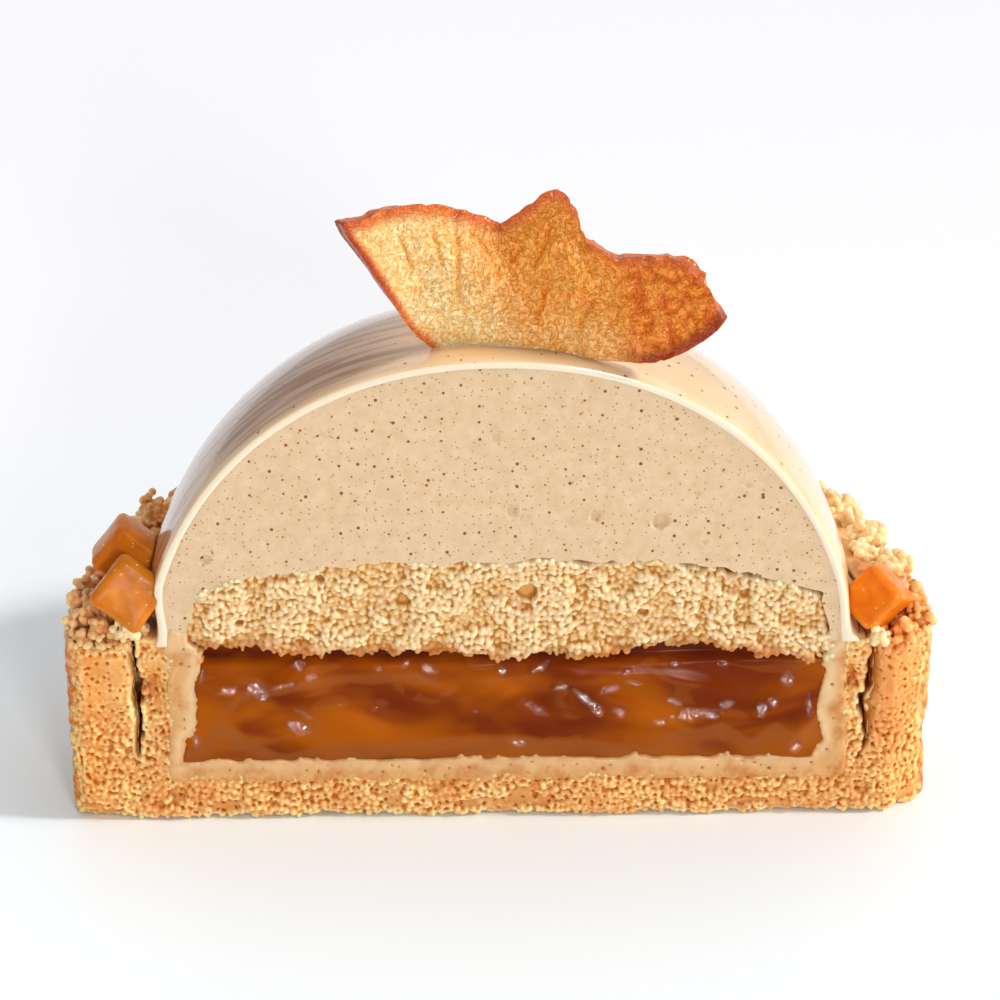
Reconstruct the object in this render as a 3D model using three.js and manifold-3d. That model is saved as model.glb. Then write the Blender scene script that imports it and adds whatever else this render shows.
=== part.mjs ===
// A caramel apple tart, cut open across the middle with a knife. A round shortcrust shell holds
// caramel and apple under a disc of sponge. A glazed cinnamon mousse dome stands on it, with
// baked crumble and caramelised apple cubes round its foot and a dried apple slice on top.
// Millimetres. X is to the right along the cut, Y goes back from the cut, Z is up.
// The origin is where the tart's axis meets the surface that it stands on.
import * as THREE from 'three';
import { mergeVertices } from 'three/addons/utils/BufferGeometryUtils.js';
import { RoundedBoxGeometry } from 'three/addons/geometries/RoundedBoxGeometry.js';
import Module from 'manifold-3d';

// ---- Driving dimensions ----
const CUT = 6.3; // the knife passed this far in front of the tart's axis
const GAP = 0.25; // clearance between two pieces that touch
const STEPS = 44; // facets round the tart, and for its shell
const SHELL_STEPS = 72;

const SHELL_RADIUS = 43; // outside of the shortcrust shell, at its rim
const SHELL_FOOT = 42.7; // and at its foot
const SHELL_HEIGHT = 19.5;
const SHELL_BASE = 4.9; // thickness of the shell's floor
const CRACK_RADIUS = 36.7; // the shell has parted from its inner ring along this circle
const CRACK_WIDTH = 1.3;
const CRACK_DEPTH = 11;
const CORNER_LEFT = 1.2; // crumbled off the outer corners where the knife came through
const CORNER_RIGHT = 3.4;

const FILLING_SHIFT = 0.8; // the filled cavity lies a little to the right of the axis
const LINING_RADIUS = 33.35; // almond cream lining, outside
const LINING_WALL = 1.8;
const LINING_FLOOR = 1.5;
const CARAMEL_TOP = 18.3;

const SPONGE_RADIUS = 32.5;
const SPONGE_EDGE = 24.5; // height of its top at the edge
const SPONGE_MIDDLE = 28.9; // and at the middle

const DOME_RADIUS = 35.7; // glazed dome, outside
const DOME_HEIGHT = 34.5;
const DOME_CENTRE = 16.15; // height of the dome's widest circle
const DOME_ROUND = 2.2; // exponents of its slightly squared profile
const DOME_CROWN = 2.05;
const DOME_TUCK = 0.5; // and how far its side turns in again at the foot
const TUCK_HEIGHT = 7;
const DOME_FOOT = SHELL_HEIGHT + 0.35;
const GLAZE_THICK = 0.6;

const CUBE = 6.5; // edge of a caramelised apple cube
const SLICE_THICK = 1.3; // dried apple slice

// ---- Tools for making solids ----
const wasm = await Module();
wasm.setup();

// A solid from a closed three.js geometry.
function solid(geometry) {
  geometry.deleteAttribute('normal');
  geometry.deleteAttribute('uv');
  const merged = mergeVertices(geometry, 1e-4);
  const index = merged.index.array;
  const triangles = [];
  for (let i = 0; i < index.length; i += 3) {
    const [a, b, c] = [index[i], index[i + 1], index[i + 2]];
    if (a !== b && b !== c && c !== a) triangles.push(a, b, c);
  }
  return new wasm.Manifold(new wasm.Mesh({
    numProp: 3,
    vertProperties: new Float32Array(merged.attributes.position.array),
    triVerts: new Uint32Array(triangles),
  }));
}

// The largest single piece of a solid, as a named mesh.
function mesh(name, piece, look) {
  const pieces = piece.decompose().sort((a, b) => b.volume() - a.volume());
  const { vertProperties, triVerts } = pieces[0].getMesh();
  const geometry = new THREE.BufferGeometry();
  geometry.setAttribute('position', new THREE.BufferAttribute(vertProperties, 3));
  geometry.setIndex(new THREE.BufferAttribute(triVerts, 1));
  geometry.computeVertexNormals();
  const made = new THREE.Mesh(geometry, new THREE.MeshStandardMaterial(look));
  made.name = name;
  return made;
}

// A turned geometry about the Z axis from [radius, height] points, anticlockwise in that plane.
function turned(profile, steps = STEPS) {
  const points = profile.map(([radius, height]) => new THREE.Vector2(radius, height));
  return new THREE.LatheGeometry(points, steps).rotateX(Math.PI / 2);
}

// Moves every vertex of a geometry to where a function puts it.
function reshape(geometry, place) {
  const position = geometry.attributes.position;
  const at = new THREE.Vector3();
  for (let i = 0; i < position.count; i++) {
    at.fromBufferAttribute(position, i);
    place(at);
    position.setXYZ(i, at.x, at.y, at.z);
  }
  return geometry;
}

// Repeatable unevenness between -1 and 1 that changes smoothly over a distance of 1.
function uneven(x, y, z) {
  const cell = (i, j, k) => {
    const h = Math.sin(i * 127.1 + j * 311.7 + k * 74.7) * 43758.5453;
    return (h - Math.floor(h)) * 2 - 1;
  };
  const ease = (t) => t * t * (3 - 2 * t);
  const [i, j, k] = [Math.floor(x), Math.floor(y), Math.floor(z)];
  const [u, v, w] = [ease(x - i), ease(y - j), ease(z - k)];
  const mix = THREE.MathUtils.lerp;
  const plane = (n) => mix(
    mix(cell(i, j, n), cell(i + 1, j, n), u),
    mix(cell(i, j + 1, n), cell(i + 1, j + 1, n), u),
    v,
  );
  return mix(plane(k), plane(k + 1), w);
}

// A draw between 0 and 1 that is the same in every run.
function draw(seed) {
  const h = Math.sin(seed * 12.9898 + 4.1414) * 43758.5453;
  return h - Math.floor(h);
}

// What the knife takes away: everything in front of the cut, whose face stands back from the
// plane of the cut by relief(x, z). Cells of the face are about the given size.
function knife(relief = () => 0, cell = 100, top = 70) {
  const [width, depth, below] = [100, 60, 2];
  const across = Math.round(width / cell) || 1;
  const up = Math.round((top + below) / cell) || 1;
  const block = new THREE.BoxGeometry(width, depth, top + below, across, 1, up);
  block.translate(0, -CUT - depth / 2, (top - below) / 2);
  return solid(reshape(block, (at) => {
    if (at.y > -CUT - 1) at.y = -CUT + relief(at.x, at.z);
  }));
}

// ---- Shortcrust shell ----
// Crumbled relief of the cut crust, with its two outer corners broken away.
function crustRelief(x, z) {
  const crags = 0.42 * uneven(x / 1.7, z / 1.7, 3) + 0.3 * uneven(x / 0.9, z / 0.9, 8);
  const corner = x > 0 ? CORNER_RIGHT : CORNER_LEFT;
  const edge = Math.sqrt(SHELL_RADIUS ** 2 - CUT ** 2);
  const gone = Math.max(0, Math.abs(x) - (edge - corner));
  const foot = Math.max(0, 1.2 - z) * (0.7 + 0.6 * uneven(x / 2.4, 5, 1));
  return crags + gone * 0.9 + foot * 0.5;
}

function crust() {
  const rows = 7;
  const wall = [];
  for (let i = 0; i <= rows; i++) {
    const up = i / rows;
    wall.push([THREE.MathUtils.lerp(SHELL_FOOT, SHELL_RADIUS, up), up * (SHELL_HEIGHT - 0.8)]);
  }
  const outer = CRACK_RADIUS + CRACK_WIDTH / 2;
  const inner = CRACK_RADIUS - CRACK_WIDTH / 2;
  const crackFoot = SHELL_HEIGHT - CRACK_DEPTH;
  const profile = [
    [0, 0],
    ...wall,
    [SHELL_RADIUS - 0.7, SHELL_HEIGHT],
    [(SHELL_RADIUS + outer) / 2, SHELL_HEIGHT],
    [outer + 0.4, SHELL_HEIGHT],
    [outer, SHELL_HEIGHT - 0.5],
    [outer - 0.3, crackFoot + CRACK_DEPTH / 2],
    [inner - 0.1, crackFoot],
    [inner - 0.5, crackFoot + CRACK_DEPTH / 2],
    [inner, SHELL_HEIGHT - 0.4],
    [inner - 0.3, SHELL_HEIGHT],
    [0, SHELL_HEIGHT],
  ];
  const body = solid(reshape(turned(profile, SHELL_STEPS), (at) => {
    const radius = Math.hypot(at.x, at.y);
    if (radius < outer + 0.2) return;
    if (at.z > SHELL_HEIGHT - 0.1) at.z -= 0.3 * Math.abs(uneven(at.x / 2.6, at.y / 2.6, 4));
    if (at.z < 0.1 || radius < SHELL_FOOT - 1) return;
    const grain = uneven(at.x / 4, at.y / 4, at.z / 3) * 0.22 - 0.12;
    at.x += (at.x / radius) * grain;
    at.y += (at.y / radius) * grain;
  }));
  const cavity = solid(turned([
    [0, SHELL_BASE],
    [LINING_RADIUS + GAP, SHELL_BASE],
    [LINING_RADIUS + GAP, SHELL_HEIGHT + 1],
    [0, SHELL_HEIGHT + 1],
  ]).translate(FILLING_SHIFT, 0, 0));
  const cut = knife(crustRelief, 1.6, SHELL_HEIGHT + 1);
  return mesh('crust', body.subtract(cavity).subtract(cut), { color: 0xd9a05f, roughness: 0.9 });
}

// ---- Almond cream lining ----
function lining() {
  const inside = LINING_RADIUS - LINING_WALL;
  const floor = SHELL_BASE + GAP;
  const ring = turned([
    [0, floor],
    [LINING_RADIUS, floor],
    [LINING_RADIUS, SHELL_HEIGHT + 0.1],
    [SPONGE_RADIUS + GAP, SHELL_HEIGHT + 0.1],
    [SPONGE_RADIUS + GAP, CARAMEL_TOP],
    [inside, CARAMEL_TOP],
    [inside, floor + LINING_FLOOR],
    [0, floor + LINING_FLOOR],
  ]).translate(FILLING_SHIFT, 0, 0);
  const cut = knife((x, z) => 0.12 + 0.12 * uneven(x / 3, z / 3, 6), 4, SHELL_HEIGHT + 1);
  return mesh('cream_lining', solid(ring).subtract(cut), { color: 0xe6bd8a, roughness: 0.6 });
}

// ---- Caramel with apple ----
function caramel() {
  const radius = LINING_RADIUS - LINING_WALL - GAP;
  const floor = SHELL_BASE + LINING_FLOOR + 2 * GAP;
  const disc = turned([
    [0, floor],
    [radius - 0.8, floor],
    [radius, floor + 0.8],
    [radius, CARAMEL_TOP],
    [0, CARAMEL_TOP],
  ]).translate(FILLING_SHIFT, 0, 0);
  const swirls = (x, z) => 0.35 * uneven(x / 7, z / 3, 2) + 0.2 * uneven(x / 3, z / 1.8, 9);
  const cut = knife(swirls, 2.6, SHELL_HEIGHT + 1);
  return mesh('caramel_apple', solid(disc).subtract(cut), { color: 0xa9601e, roughness: 0.18 });
}

// ---- Sponge disc ----
function spongeTop(radius, lift = 0) {
  const drop = SPONGE_MIDDLE - SPONGE_EDGE;
  return SPONGE_MIDDLE + lift - drop * (radius / SPONGE_RADIUS) ** 4;
}

// Profile points across the sponge's domed top, from its edge to its middle.
function spongeCrown(edge, lift) {
  const points = [];
  for (const share of [1, 0.94, 0.86, 0.74, 0.58, 0.35, 0]) {
    points.push([edge * share, spongeTop(SPONGE_RADIUS * share, lift)]);
  }
  return points;
}

function sponge() {
  const disc = turned([
    [0, CARAMEL_TOP + GAP],
    [SPONGE_RADIUS, CARAMEL_TOP + GAP],
    ...spongeCrown(SPONGE_RADIUS, 0),
  ]).translate(FILLING_SHIFT, 0, 0);
  const crumb = (x, z) => 0.3 + 0.3 * uneven(x / 1.5, z / 1.5, 7);
  const cut = knife(crumb, 1.7, SPONGE_MIDDLE + 1);
  return mesh('sponge', solid(disc).subtract(cut), { color: 0xe9d48c, roughness: 0.95 });
}

// ---- Mousse dome and its glaze ----
// Profile points up the dome, standing in from the glaze's outside, from its foot to its crown.
function domeProfile(inset, foot = DOME_FOOT, rows = 9) {
  const height = DOME_HEIGHT - inset;
  const start = Math.asin(((foot - DOME_CENTRE) / height) ** (DOME_CROWN / 2));
  const points = [];
  for (let i = 0; i <= rows; i++) {
    const turn = THREE.MathUtils.lerp(start, Math.PI / 2, i / rows);
    const up = DOME_CENTRE + height * Math.sin(turn) ** (2 / DOME_CROWN);
    const tuck = DOME_TUCK * (1 - THREE.MathUtils.smoothstep(up, foot, foot + TUCK_HEIGHT));
    const radius = (DOME_RADIUS - inset) * Math.cos(turn) ** (2 / DOME_ROUND) - tuck;
    points.push([i === rows ? 0 : radius, up]);
  }
  return points;
}

// Air bubbles that the knife opened in the mousse: [x, z, radius].
const BUBBLES = [
  [-0.4, 42.2, 0.4], [1.2, 34.4, 0.55], [9.3, 33.7, 0.5], [15.6, 33.1, 0.7],
  [24.0, 37.0, 0.35], [19.1, 36.1, 0.35], [-28.7, 29.4, 0.5],
];

function mousse() {
  const outside = solid(turned([[0, DOME_FOOT], ...domeProfile(GLAZE_THICK + GAP)]));
  const hollow = solid(turned([
    [0, CARAMEL_TOP],
    [SPONGE_RADIUS + GAP, CARAMEL_TOP],
    ...spongeCrown(SPONGE_RADIUS + GAP, GAP),
  ]).translate(FILLING_SHIFT, 0, 0));
  let dome = outside.subtract(hollow).subtract(knife());
  for (const [x, z, radius] of BUBBLES) {
    const bubble = new THREE.IcosahedronGeometry(radius, 1).translate(x, -CUT - radius * 0.2, z);
    dome = dome.subtract(solid(bubble));
  }
  return mesh('cinnamon_mousse', dome, { color: 0xe8cdb2, roughness: 0.55 });
}

function glaze() {
  const outside = domeProfile(0);
  const skin = turned([...outside, ...domeProfile(GLAZE_THICK).reverse(), outside[0]]);
  return mesh('glaze', solid(skin).subtract(knife()), { color: 0xecd2ac, roughness: 0.1 });
}

// Everything within a clearance of the dome and of the shell's rim, to cut other pieces back.
function rimAndDome(clearance) {
  const top = SHELL_HEIGHT + clearance;
  const dome = solid(turned([[0, SHELL_HEIGHT], ...domeProfile(-clearance, SHELL_HEIGHT)]));
  const rim = solid(new THREE.BoxGeometry(100, 100, 20).translate(0, 0, top - 10));
  return dome.subtract(knife(() => -clearance)).add(rim);
}

// ---- Caramelised apple cubes ----
// Where each cube lies round the dome: degrees from the right-hand end of the cut, radius and
// height of its middle, and its turns about X, Y and Z in degrees.
const CUBES = [
  { angle: -5.2, radius: 37.4, height: 23.1, turn: [-121, 27, 49], size: 0.79 },
  { angle: 52, radius: 38, height: 24.2, turn: [12, 30, 15], size: 0.92 },
  { angle: 65, radius: 37.8, height: 23.8, turn: [35, -12, 40], size: 1 },
  { angle: 97, radius: 38, height: 24, turn: [8, 24, 70], size: 0.94 },
  { angle: 128, radius: 37.8, height: 24, turn: [-22, 16, 25], size: 0.9 },
  { angle: 177.5, radius: 36.8, height: 26.2, turn: [-97, -3, 38], size: 0.82 },
  { angle: 186.5, radius: 36.6, height: 24.6, turn: [-112, -9, 38], size: 0.9 },
];

function cubeGeometry({ angle, radius, height, turn, size }, seed, grow = 0) {
  const edge = CUBE * size;
  const sides = [0.95 + 0.1 * draw(seed), 1, 0.92 + 0.1 * draw(seed + 40)];
  const [wide, deep, tall] = sides.map((share) => edge * share + 2 * grow);
  const box = grow
    ? new THREE.BoxGeometry(wide, deep, tall)
    : new RoundedBoxGeometry(wide, deep, tall, 1, 0.7);
  reshape(box, (at) => {
    const lean = (draw(seed + 80) - 0.5) * 0.2;
    at.x += at.z * lean;
  });
  const [x, y, z] = turn.map(THREE.MathUtils.degToRad);
  box.applyMatrix4(new THREE.Matrix4().makeRotationFromEuler(new THREE.Euler(x, y, z)));
  const around = THREE.MathUtils.degToRad(angle);
  return box.translate(radius * Math.cos(around), radius * Math.sin(around), height);
}

function cubes(clear) {
  const look = { color: 0xc87a2c, roughness: 0.2 };
  return CUBES.map((place, i) => {
    let cube = solid(cubeGeometry(place, i)).subtract(clear);
    if (i > 0) cube = cube.subtract(solid(cubeGeometry(CUBES[i - 1], i - 1, GAP)));
    return mesh(`apple_cube_${String(i + 1).padStart(2, '0')}`, cube, look);
  });
}

// ---- Crumble ring ----
// Baked crumble lies on the rim from one end of the cut round the back to the other: a low
// bank with rows of lumps on it, lower towards the cut. Angles are degrees from the right.
const CRUMBLE_FIRST = -6;
const CRUMBLE_LAST = 187;
const BANK_STEPS = 36;
const CRUMBLE_ROWS = [
  { radius: 41.3, spread: 1, height: 0.7, size: 1.9, count: 22, detail: 1 },
  { radius: 38.7, spread: 1.4, height: 1.9, size: 2, count: 15, detail: 1 },
  { radius: 40, spread: 3, height: 2.4, size: 1.1, count: 10, detail: 0 },
];

function crumble(clear) {
  const floor = SHELL_HEIGHT + 0.3;
  const bank = turned([
    [CRACK_RADIUS + 0.3, floor],
    [SHELL_RADIUS - 1.2, floor],
    [SHELL_RADIUS - 1.5, floor + 1],
    [CRACK_RADIUS + 1.8, floor + 2.4],
    [CRACK_RADIUS - 0.2, floor + 1.6],
    [CRACK_RADIUS + 0.3, floor],
  ], BANK_STEPS);
  reshape(bank, (at) => {
    const back = THREE.MathUtils.smoothstep(at.y, -5, 6);
    at.z = floor + (at.z - floor) * (0.35 + 0.65 * back);
  });
  const front = new THREE.BoxGeometry(100, 60, 60).translate(0, -CUT + 1 - 30, 30);
  let heap = solid(bank).subtract(solid(front));
  let seed = 0;
  for (const row of CRUMBLE_ROWS) {
    for (let i = 0; i < row.count; i++) {
      seed += 5;
      const step = (CRUMBLE_LAST - CRUMBLE_FIRST) / row.count;
      const angle = THREE.MathUtils.degToRad(CRUMBLE_FIRST + step * (i + draw(seed)));
      const radius = row.radius + row.spread * (draw(seed + 1) - 0.5);
      const back = THREE.MathUtils.smoothstep(radius * Math.sin(angle), -5, 6);
      const height = floor + row.height * (0.4 + 0.6 * back) + 0.5 * draw(seed + 2);
      const size = row.size * (0.75 + 0.5 * draw(seed + 3));
      const lump = reshape(new THREE.OctahedronGeometry(size, row.detail), (at) => {
        at.multiplyScalar(1 + 0.18 * uneven(at.x / 1.1 + seed, at.y / 1.1, at.z / 1.1));
      });
      lump.translate(radius * Math.cos(angle), radius * Math.sin(angle), height);
      heap = heap.add(solid(lump));
    }
  }
  heap = heap.subtract(clear);
  CUBES.forEach((place, i) => {
    heap = heap.subtract(solid(cubeGeometry(place, i, GAP)));
  });
  return mesh('crumble', heap, { color: 0xdca566, roughness: 0.9 });
}

// ---- Dried apple slice ----
// The slice stands on the dome just behind the cut. Its four edges are smooth curves through
// these points [x, y, z]; the sheet between them is folded where the slice buckled as it dried.
const SLICE_TOP = [
  [-15.3, -7.4, 65], [-11.1, -5, 65.3], [-8.2, -3.8, 65.2], [-5.8, -2.6, 64.5],
  [-3.5, -1.7, 63.5], [-1.2, -1, 62.3], [0.3, -0.8, 61.7], [1.8, -1.1, 62.9],
  [3.9, -1.6, 65], [5.5, -1.9, 66.1], [6.5, -2.2, 64.9], [7.4, -2.7, 62.7], [9, -3.2, 61],
  [11.6, -3.5, 59.9], [14.5, -4.2, 60.1], [16.7, -5, 60.4], [18.1, -5.8, 59.9],
  [19.1, -6.2, 58.8],
];
const SLICE_BOTTOM = [
  [-6.5, -2.2, 50.6], [-2.8, -2.5, 50.8], [0.1, -3.2, 50.8], [2.9, -3.6, 50.7],
  [5.8, -3.9, 50.4], [8.2, -4.3, 50], [10.5, -4.9, 49.7], [13.9, -5.2, 49.9],
  [17.3, -6.2, 51.3], [20, -7, 53.4], [21.4, -7.4, 55],
];
const SLICE_LEFT = [
  [-6.5, -2.2, 50.6], [-8.9, -4.2, 53.5], [-10.8, -5.6, 57], [-12.8, -6.6, 60.7],
  [-14.5, -7.2, 63.4], [-15.3, -7.4, 65],
];
const SLICE_RIGHT = [[21.4, -7.4, 55], [20.5, -7, 56.4], [19.1, -6.2, 58.8]];
const CREASE = { top: 0.74, bottom: 0.6, width: 0.07, depth: 0.8 };

function curveThrough(points) {
  return new THREE.CatmullRomCurve3(points.map((at) => new THREE.Vector3(...at)));
}

// Point of the slice's middle sheet at u across and v up, both from 0 to 1: a surface that
// meets the four edges, with its folds added in the direction of Y.
function slicePoint(edges, u, v) {
  const at = new THREE.Vector3();
  at.addScaledVector(edges.bottom.getPoint(u), 1 - v);
  at.addScaledVector(edges.top.getPoint(u), v);
  at.addScaledVector(edges.left.getPoint(v), 1 - u);
  at.addScaledVector(edges.right.getPoint(v), u);
  at.addScaledVector(edges.bottom.getPoint(0), -(1 - u) * (1 - v));
  at.addScaledVector(edges.bottom.getPoint(1), -u * (1 - v));
  at.addScaledVector(edges.top.getPoint(0), -(1 - u) * v);
  at.addScaledVector(edges.top.getPoint(1), -u * v);
  const inside = Math.sin(Math.PI * v);
  const away = (u - THREE.MathUtils.lerp(CREASE.bottom, CREASE.top, v)) / CREASE.width;
  at.y += CREASE.depth * inside * Math.exp(-away * away);
  at.y += 0.4 * inside * uneven(at.x / 4, 2, at.z / 5);
  return at;
}

function slice(clear) {
  const [across, up] = [27, 8];
  const edges = {
    top: curveThrough(SLICE_TOP),
    bottom: curveThrough(SLICE_BOTTOM),
    left: curveThrough(SLICE_LEFT),
    right: curveThrough(SLICE_RIGHT),
  };
  const small = 1e-3;
  const sheet = new THREE.BoxGeometry(1, 1, 1, across, 1, up);
  reshape(sheet, (at) => {
    const [u, v, side] = [at.x + 0.5, at.z + 0.5, at.y * SLICE_THICK];
    const [left, right] = [Math.max(u - small, 0), Math.min(u + small, 1)];
    const [low, high] = [Math.max(v - small, 0), Math.min(v + small, 1)];
    const along = slicePoint(edges, right, v).sub(slicePoint(edges, left, v));
    const rising = slicePoint(edges, u, high).sub(slicePoint(edges, u, low));
    const back = rising.cross(along).normalize();
    at.copy(slicePoint(edges, u, v)).addScaledVector(back, side);
  });
  return mesh('dried_apple_slice', solid(sheet).subtract(clear), { color: 0xdf9440, roughness: 0.6 });
}

// ---- The whole tart ----
const tart = new THREE.Group();
const clear = rimAndDome(GAP);
tart.add(crust(), lining(), caramel(), sponge(), mousse(), glaze());
tart.add(...cubes(clear), crumble(clear), slice(clear));

export default tart;
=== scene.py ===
# A caramel apple tart for one, cut open across the middle and seen from the cut: shortcrust,
# almond cream, caramel and apple, sponge, cinnamon mousse, glaze, crumble and a dried slice.
import math

import bmesh
import bpy
import numpy as np
import openvdb
from mathutils import Matrix, Vector


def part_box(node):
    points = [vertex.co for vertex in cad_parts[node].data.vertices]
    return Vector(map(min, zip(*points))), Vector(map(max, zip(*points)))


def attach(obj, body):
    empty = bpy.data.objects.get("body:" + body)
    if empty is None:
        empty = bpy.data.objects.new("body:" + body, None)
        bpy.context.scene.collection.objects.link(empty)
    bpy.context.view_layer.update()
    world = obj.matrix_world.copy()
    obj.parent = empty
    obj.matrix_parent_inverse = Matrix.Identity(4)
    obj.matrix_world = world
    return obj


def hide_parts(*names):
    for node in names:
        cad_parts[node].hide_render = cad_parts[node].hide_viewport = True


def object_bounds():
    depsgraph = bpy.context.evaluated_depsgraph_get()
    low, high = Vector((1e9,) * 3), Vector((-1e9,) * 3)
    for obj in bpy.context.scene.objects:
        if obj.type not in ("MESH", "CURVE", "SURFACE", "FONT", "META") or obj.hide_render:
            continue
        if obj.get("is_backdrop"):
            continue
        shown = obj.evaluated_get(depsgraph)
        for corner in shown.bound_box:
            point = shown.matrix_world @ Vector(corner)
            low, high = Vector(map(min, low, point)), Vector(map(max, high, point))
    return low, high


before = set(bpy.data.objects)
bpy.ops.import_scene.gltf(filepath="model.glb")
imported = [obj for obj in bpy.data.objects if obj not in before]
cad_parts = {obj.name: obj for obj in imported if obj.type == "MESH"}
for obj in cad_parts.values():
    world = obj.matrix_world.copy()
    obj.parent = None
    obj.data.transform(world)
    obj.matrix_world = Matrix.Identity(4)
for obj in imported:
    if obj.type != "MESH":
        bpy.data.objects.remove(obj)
cad_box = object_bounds()


# ---- Shortcrust shell ----
# Butter dough rubbed to beads, pressed into a tart ring and baked until golden. The knife broke
# it into those beads, with dark hollows between them, and cracked it off its inner ring. Near
# its rim the dough was pressed hardest, so there the cut is closer and only pricked with pores.
MM = 0.001  # sizes here are in millimetres, and a mesh is made in metres
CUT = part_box("glaze")[0].y / MM  # the plane that the knife passed through
SHELL_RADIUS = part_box("crust")[1].x / MM
SHELL_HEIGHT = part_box("crust")[1].z / MM
SHELL_TAPER = 0.3  # it is this much narrower at its foot
SHELL_FLOOR = 4.9
CAVITY_RADIUS = 33.6
CAVITY_SHIFT = 0.8  # the cavity lies to the right of the shell's middle
BEAD = 0.53  # from one bead of dough to the next on the cut
BEAD_SIZES = (0.27, 0.43)
WALL_BEAD = 0.78  # and round the outside, where they have melted together
GRAIN = 0.1  # the torn faces are modelled in steps of this size
WALL_STEP = 0.4
CRUST_BACK = 4.6  # the cut face is modelled finely to this depth, its broken corners included
BODY_BACK = 1.15  # and the rest of the shell begins this far behind it
CORNER_LEFT, CORNER_RIGHT = 1.2, 3.4  # broken off the outer corners by the knife
# The crack between the outer wall and the inner ring: heights, and how far out it lies there.
CRACK_LEFT = ([7.5, 8.8, 11.3, 13.9, 15.8, 18.1, 20], [35.9, 35.8, 35.6, 35.9, 35.7, 36, 36.3])
CRACK_RIGHT = ([6.1, 8.1, 10.7, 12.6, 14.3, 18.8], [35.6, 36.5, 36.2, 35.8, 36.5, 36.8])
CRACK_RIGHT_EDGE = ([6.2, 10.7, 13.2, 15.4, 18.8], [36.8, 37.8, 37.9, 38.1, 37.7])
CRACK_LEFT_SIDE = 0.9  # width of its slanted outer side on the left
CRACK_HALF = ([6, 8.8, 12.5, 13.9, 15.2, 18, 20], [0.04, 0.14, 0.24, 0.45, 0.22, 0.15, 0.3])
CRACK_FOOT = 6
CRACK_DEEP = 4.5  # how far back from the cut it runs
RING_RISE = 1.0  # the inner ring stands this much higher, up to the foot of the glaze
CUT_HALF = math.sqrt(SHELL_RADIUS ** 2 - CUT ** 2)  # half the shell's width where it is cut


def ease(value, start, end):
    """0 before start and 1 after end, with a smooth change between them."""
    share = np.clip((value - start) / (end - start), 0, 1)
    return share * share * (3 - 2 * share)


def uneven(x, y, z, size, seed):
    """Repeatable unevenness from -1 to 1 that changes smoothly over about size."""
    count = 32
    draws = np.random.default_rng(seed).uniform(-1, 1, (count,) * 3).astype(np.float32)
    squares, shares = [], []
    for along in (x, y, z):
        place = np.asarray(along, np.float32) / size
        cell = np.floor(place)
        part = place - cell
        squares.append(cell.astype(int))
        shares.append((1 - part * part * (3 - 2 * part), part * part * (3 - 2 * part)))
    total = 0
    for i in (0, 1):
        for j in (0, 1):
            for k in (0, 1):
                corner = [(cell + n) % count for cell, n in zip(squares, (i, j, k))]
                total = total + shares[0][i] * shares[1][j] * shares[2][k] * draws[tuple(corner)]
    return total


def cells(x, y, size, seed):
    """Cell pattern: distances to the nearest and the second nearest of scattered places."""
    draws = np.random.default_rng(seed).uniform(0, 1, (64, 64, 2))
    x, y = x / size, y / size
    shape = np.broadcast(x, y).shape
    nearest, second = np.full(shape, 9.0), np.full(shape, 9.0)
    for i in (-1, 0, 1):
        for j in (-1, 0, 1):
            cell_x, cell_y = np.floor(x).astype(int) + i, np.floor(y).astype(int) + j
            spot = draws[cell_x % 64, cell_y % 64]
            away = np.hypot(cell_x + spot[..., 0] - x, cell_y + spot[..., 1] - y)
            second = np.minimum(second, np.maximum(nearest, away))
            nearest = np.minimum(nearest, away)
    return nearest, second


def blurred(values, reach):
    """Mean of the values within reach samples along each axis."""
    width = 2 * reach + 1
    for axis in range(values.ndim):
        pads = [(reach + 1, reach) if i == axis else (0, 0) for i in range(values.ndim)]
        summed = np.cumsum(np.pad(values, pads, "edge"), axis)
        size = values.shape[axis]
        far = np.take(summed, np.arange(width, width + size), axis)
        values = (far - np.take(summed, np.arange(size), axis)) / width
    return values


def scattered(low, high, spacing, seed):
    """Places about spacing apart that fill a block, each moved a little by a seeded draw."""
    axes = [np.arange(a, b, spacing) for a, b in zip(low, high)]
    places = np.stack(np.meshgrid(*axes, indexing="ij"), -1).reshape(-1, 3)
    draws = np.random.default_rng(seed)
    return places + draws.uniform(-0.45, 0.45, places.shape) * spacing


def bead_bed(low, high, spacing, sizes, seed):
    """Beads two deep over a face between two corners [x, z]: middles [x, depth, z], and radii."""
    places = scattered((low[0], 0, low[1]), (high[0], 1.5 * spacing, high[1]), spacing, seed)
    radii = np.random.default_rng(seed + 1).uniform(*sizes, len(places))
    return places + radii[:, None] * [0, 1, 0], radii


def face_grid(low, high, step):
    """Sample places over the cut between two corners [x, z]."""
    return np.meshgrid(np.arange(low[0], high[0], step), np.arange(low[1], high[1], step), indexing="ij")


def near_samples(x, z, place, reach):
    """The samples within reach of a place on the cut, and how far off they are."""
    step, corner = x[1, 0] - x[0, 0], np.array([x[0, 0], z[0, 0]])
    start = np.maximum(np.floor((np.array(place) - reach - corner) / step).astype(int), 0)
    stop = np.maximum(np.ceil((np.array(place) + reach - corner) / step).astype(int) + 1, 0)
    part = np.s_[start[0]:stop[0], start[1]:stop[1]]
    return part, np.hypot(x[part] - place[0], z[part] - place[1])


def set_beads(depth, x, z, middles, radii):
    """Sets round beads into a face, which is given by its depths behind the cut."""
    for middle, radius in zip(middles, radii):
        part, away = near_samples(x, z, middle[::2], radius)
        front = middle[1] - np.sqrt(np.maximum(radius ** 2 - away ** 2, 0))
        depth[part] = np.where(away < radius, np.minimum(depth[part], front), depth[part])


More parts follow.
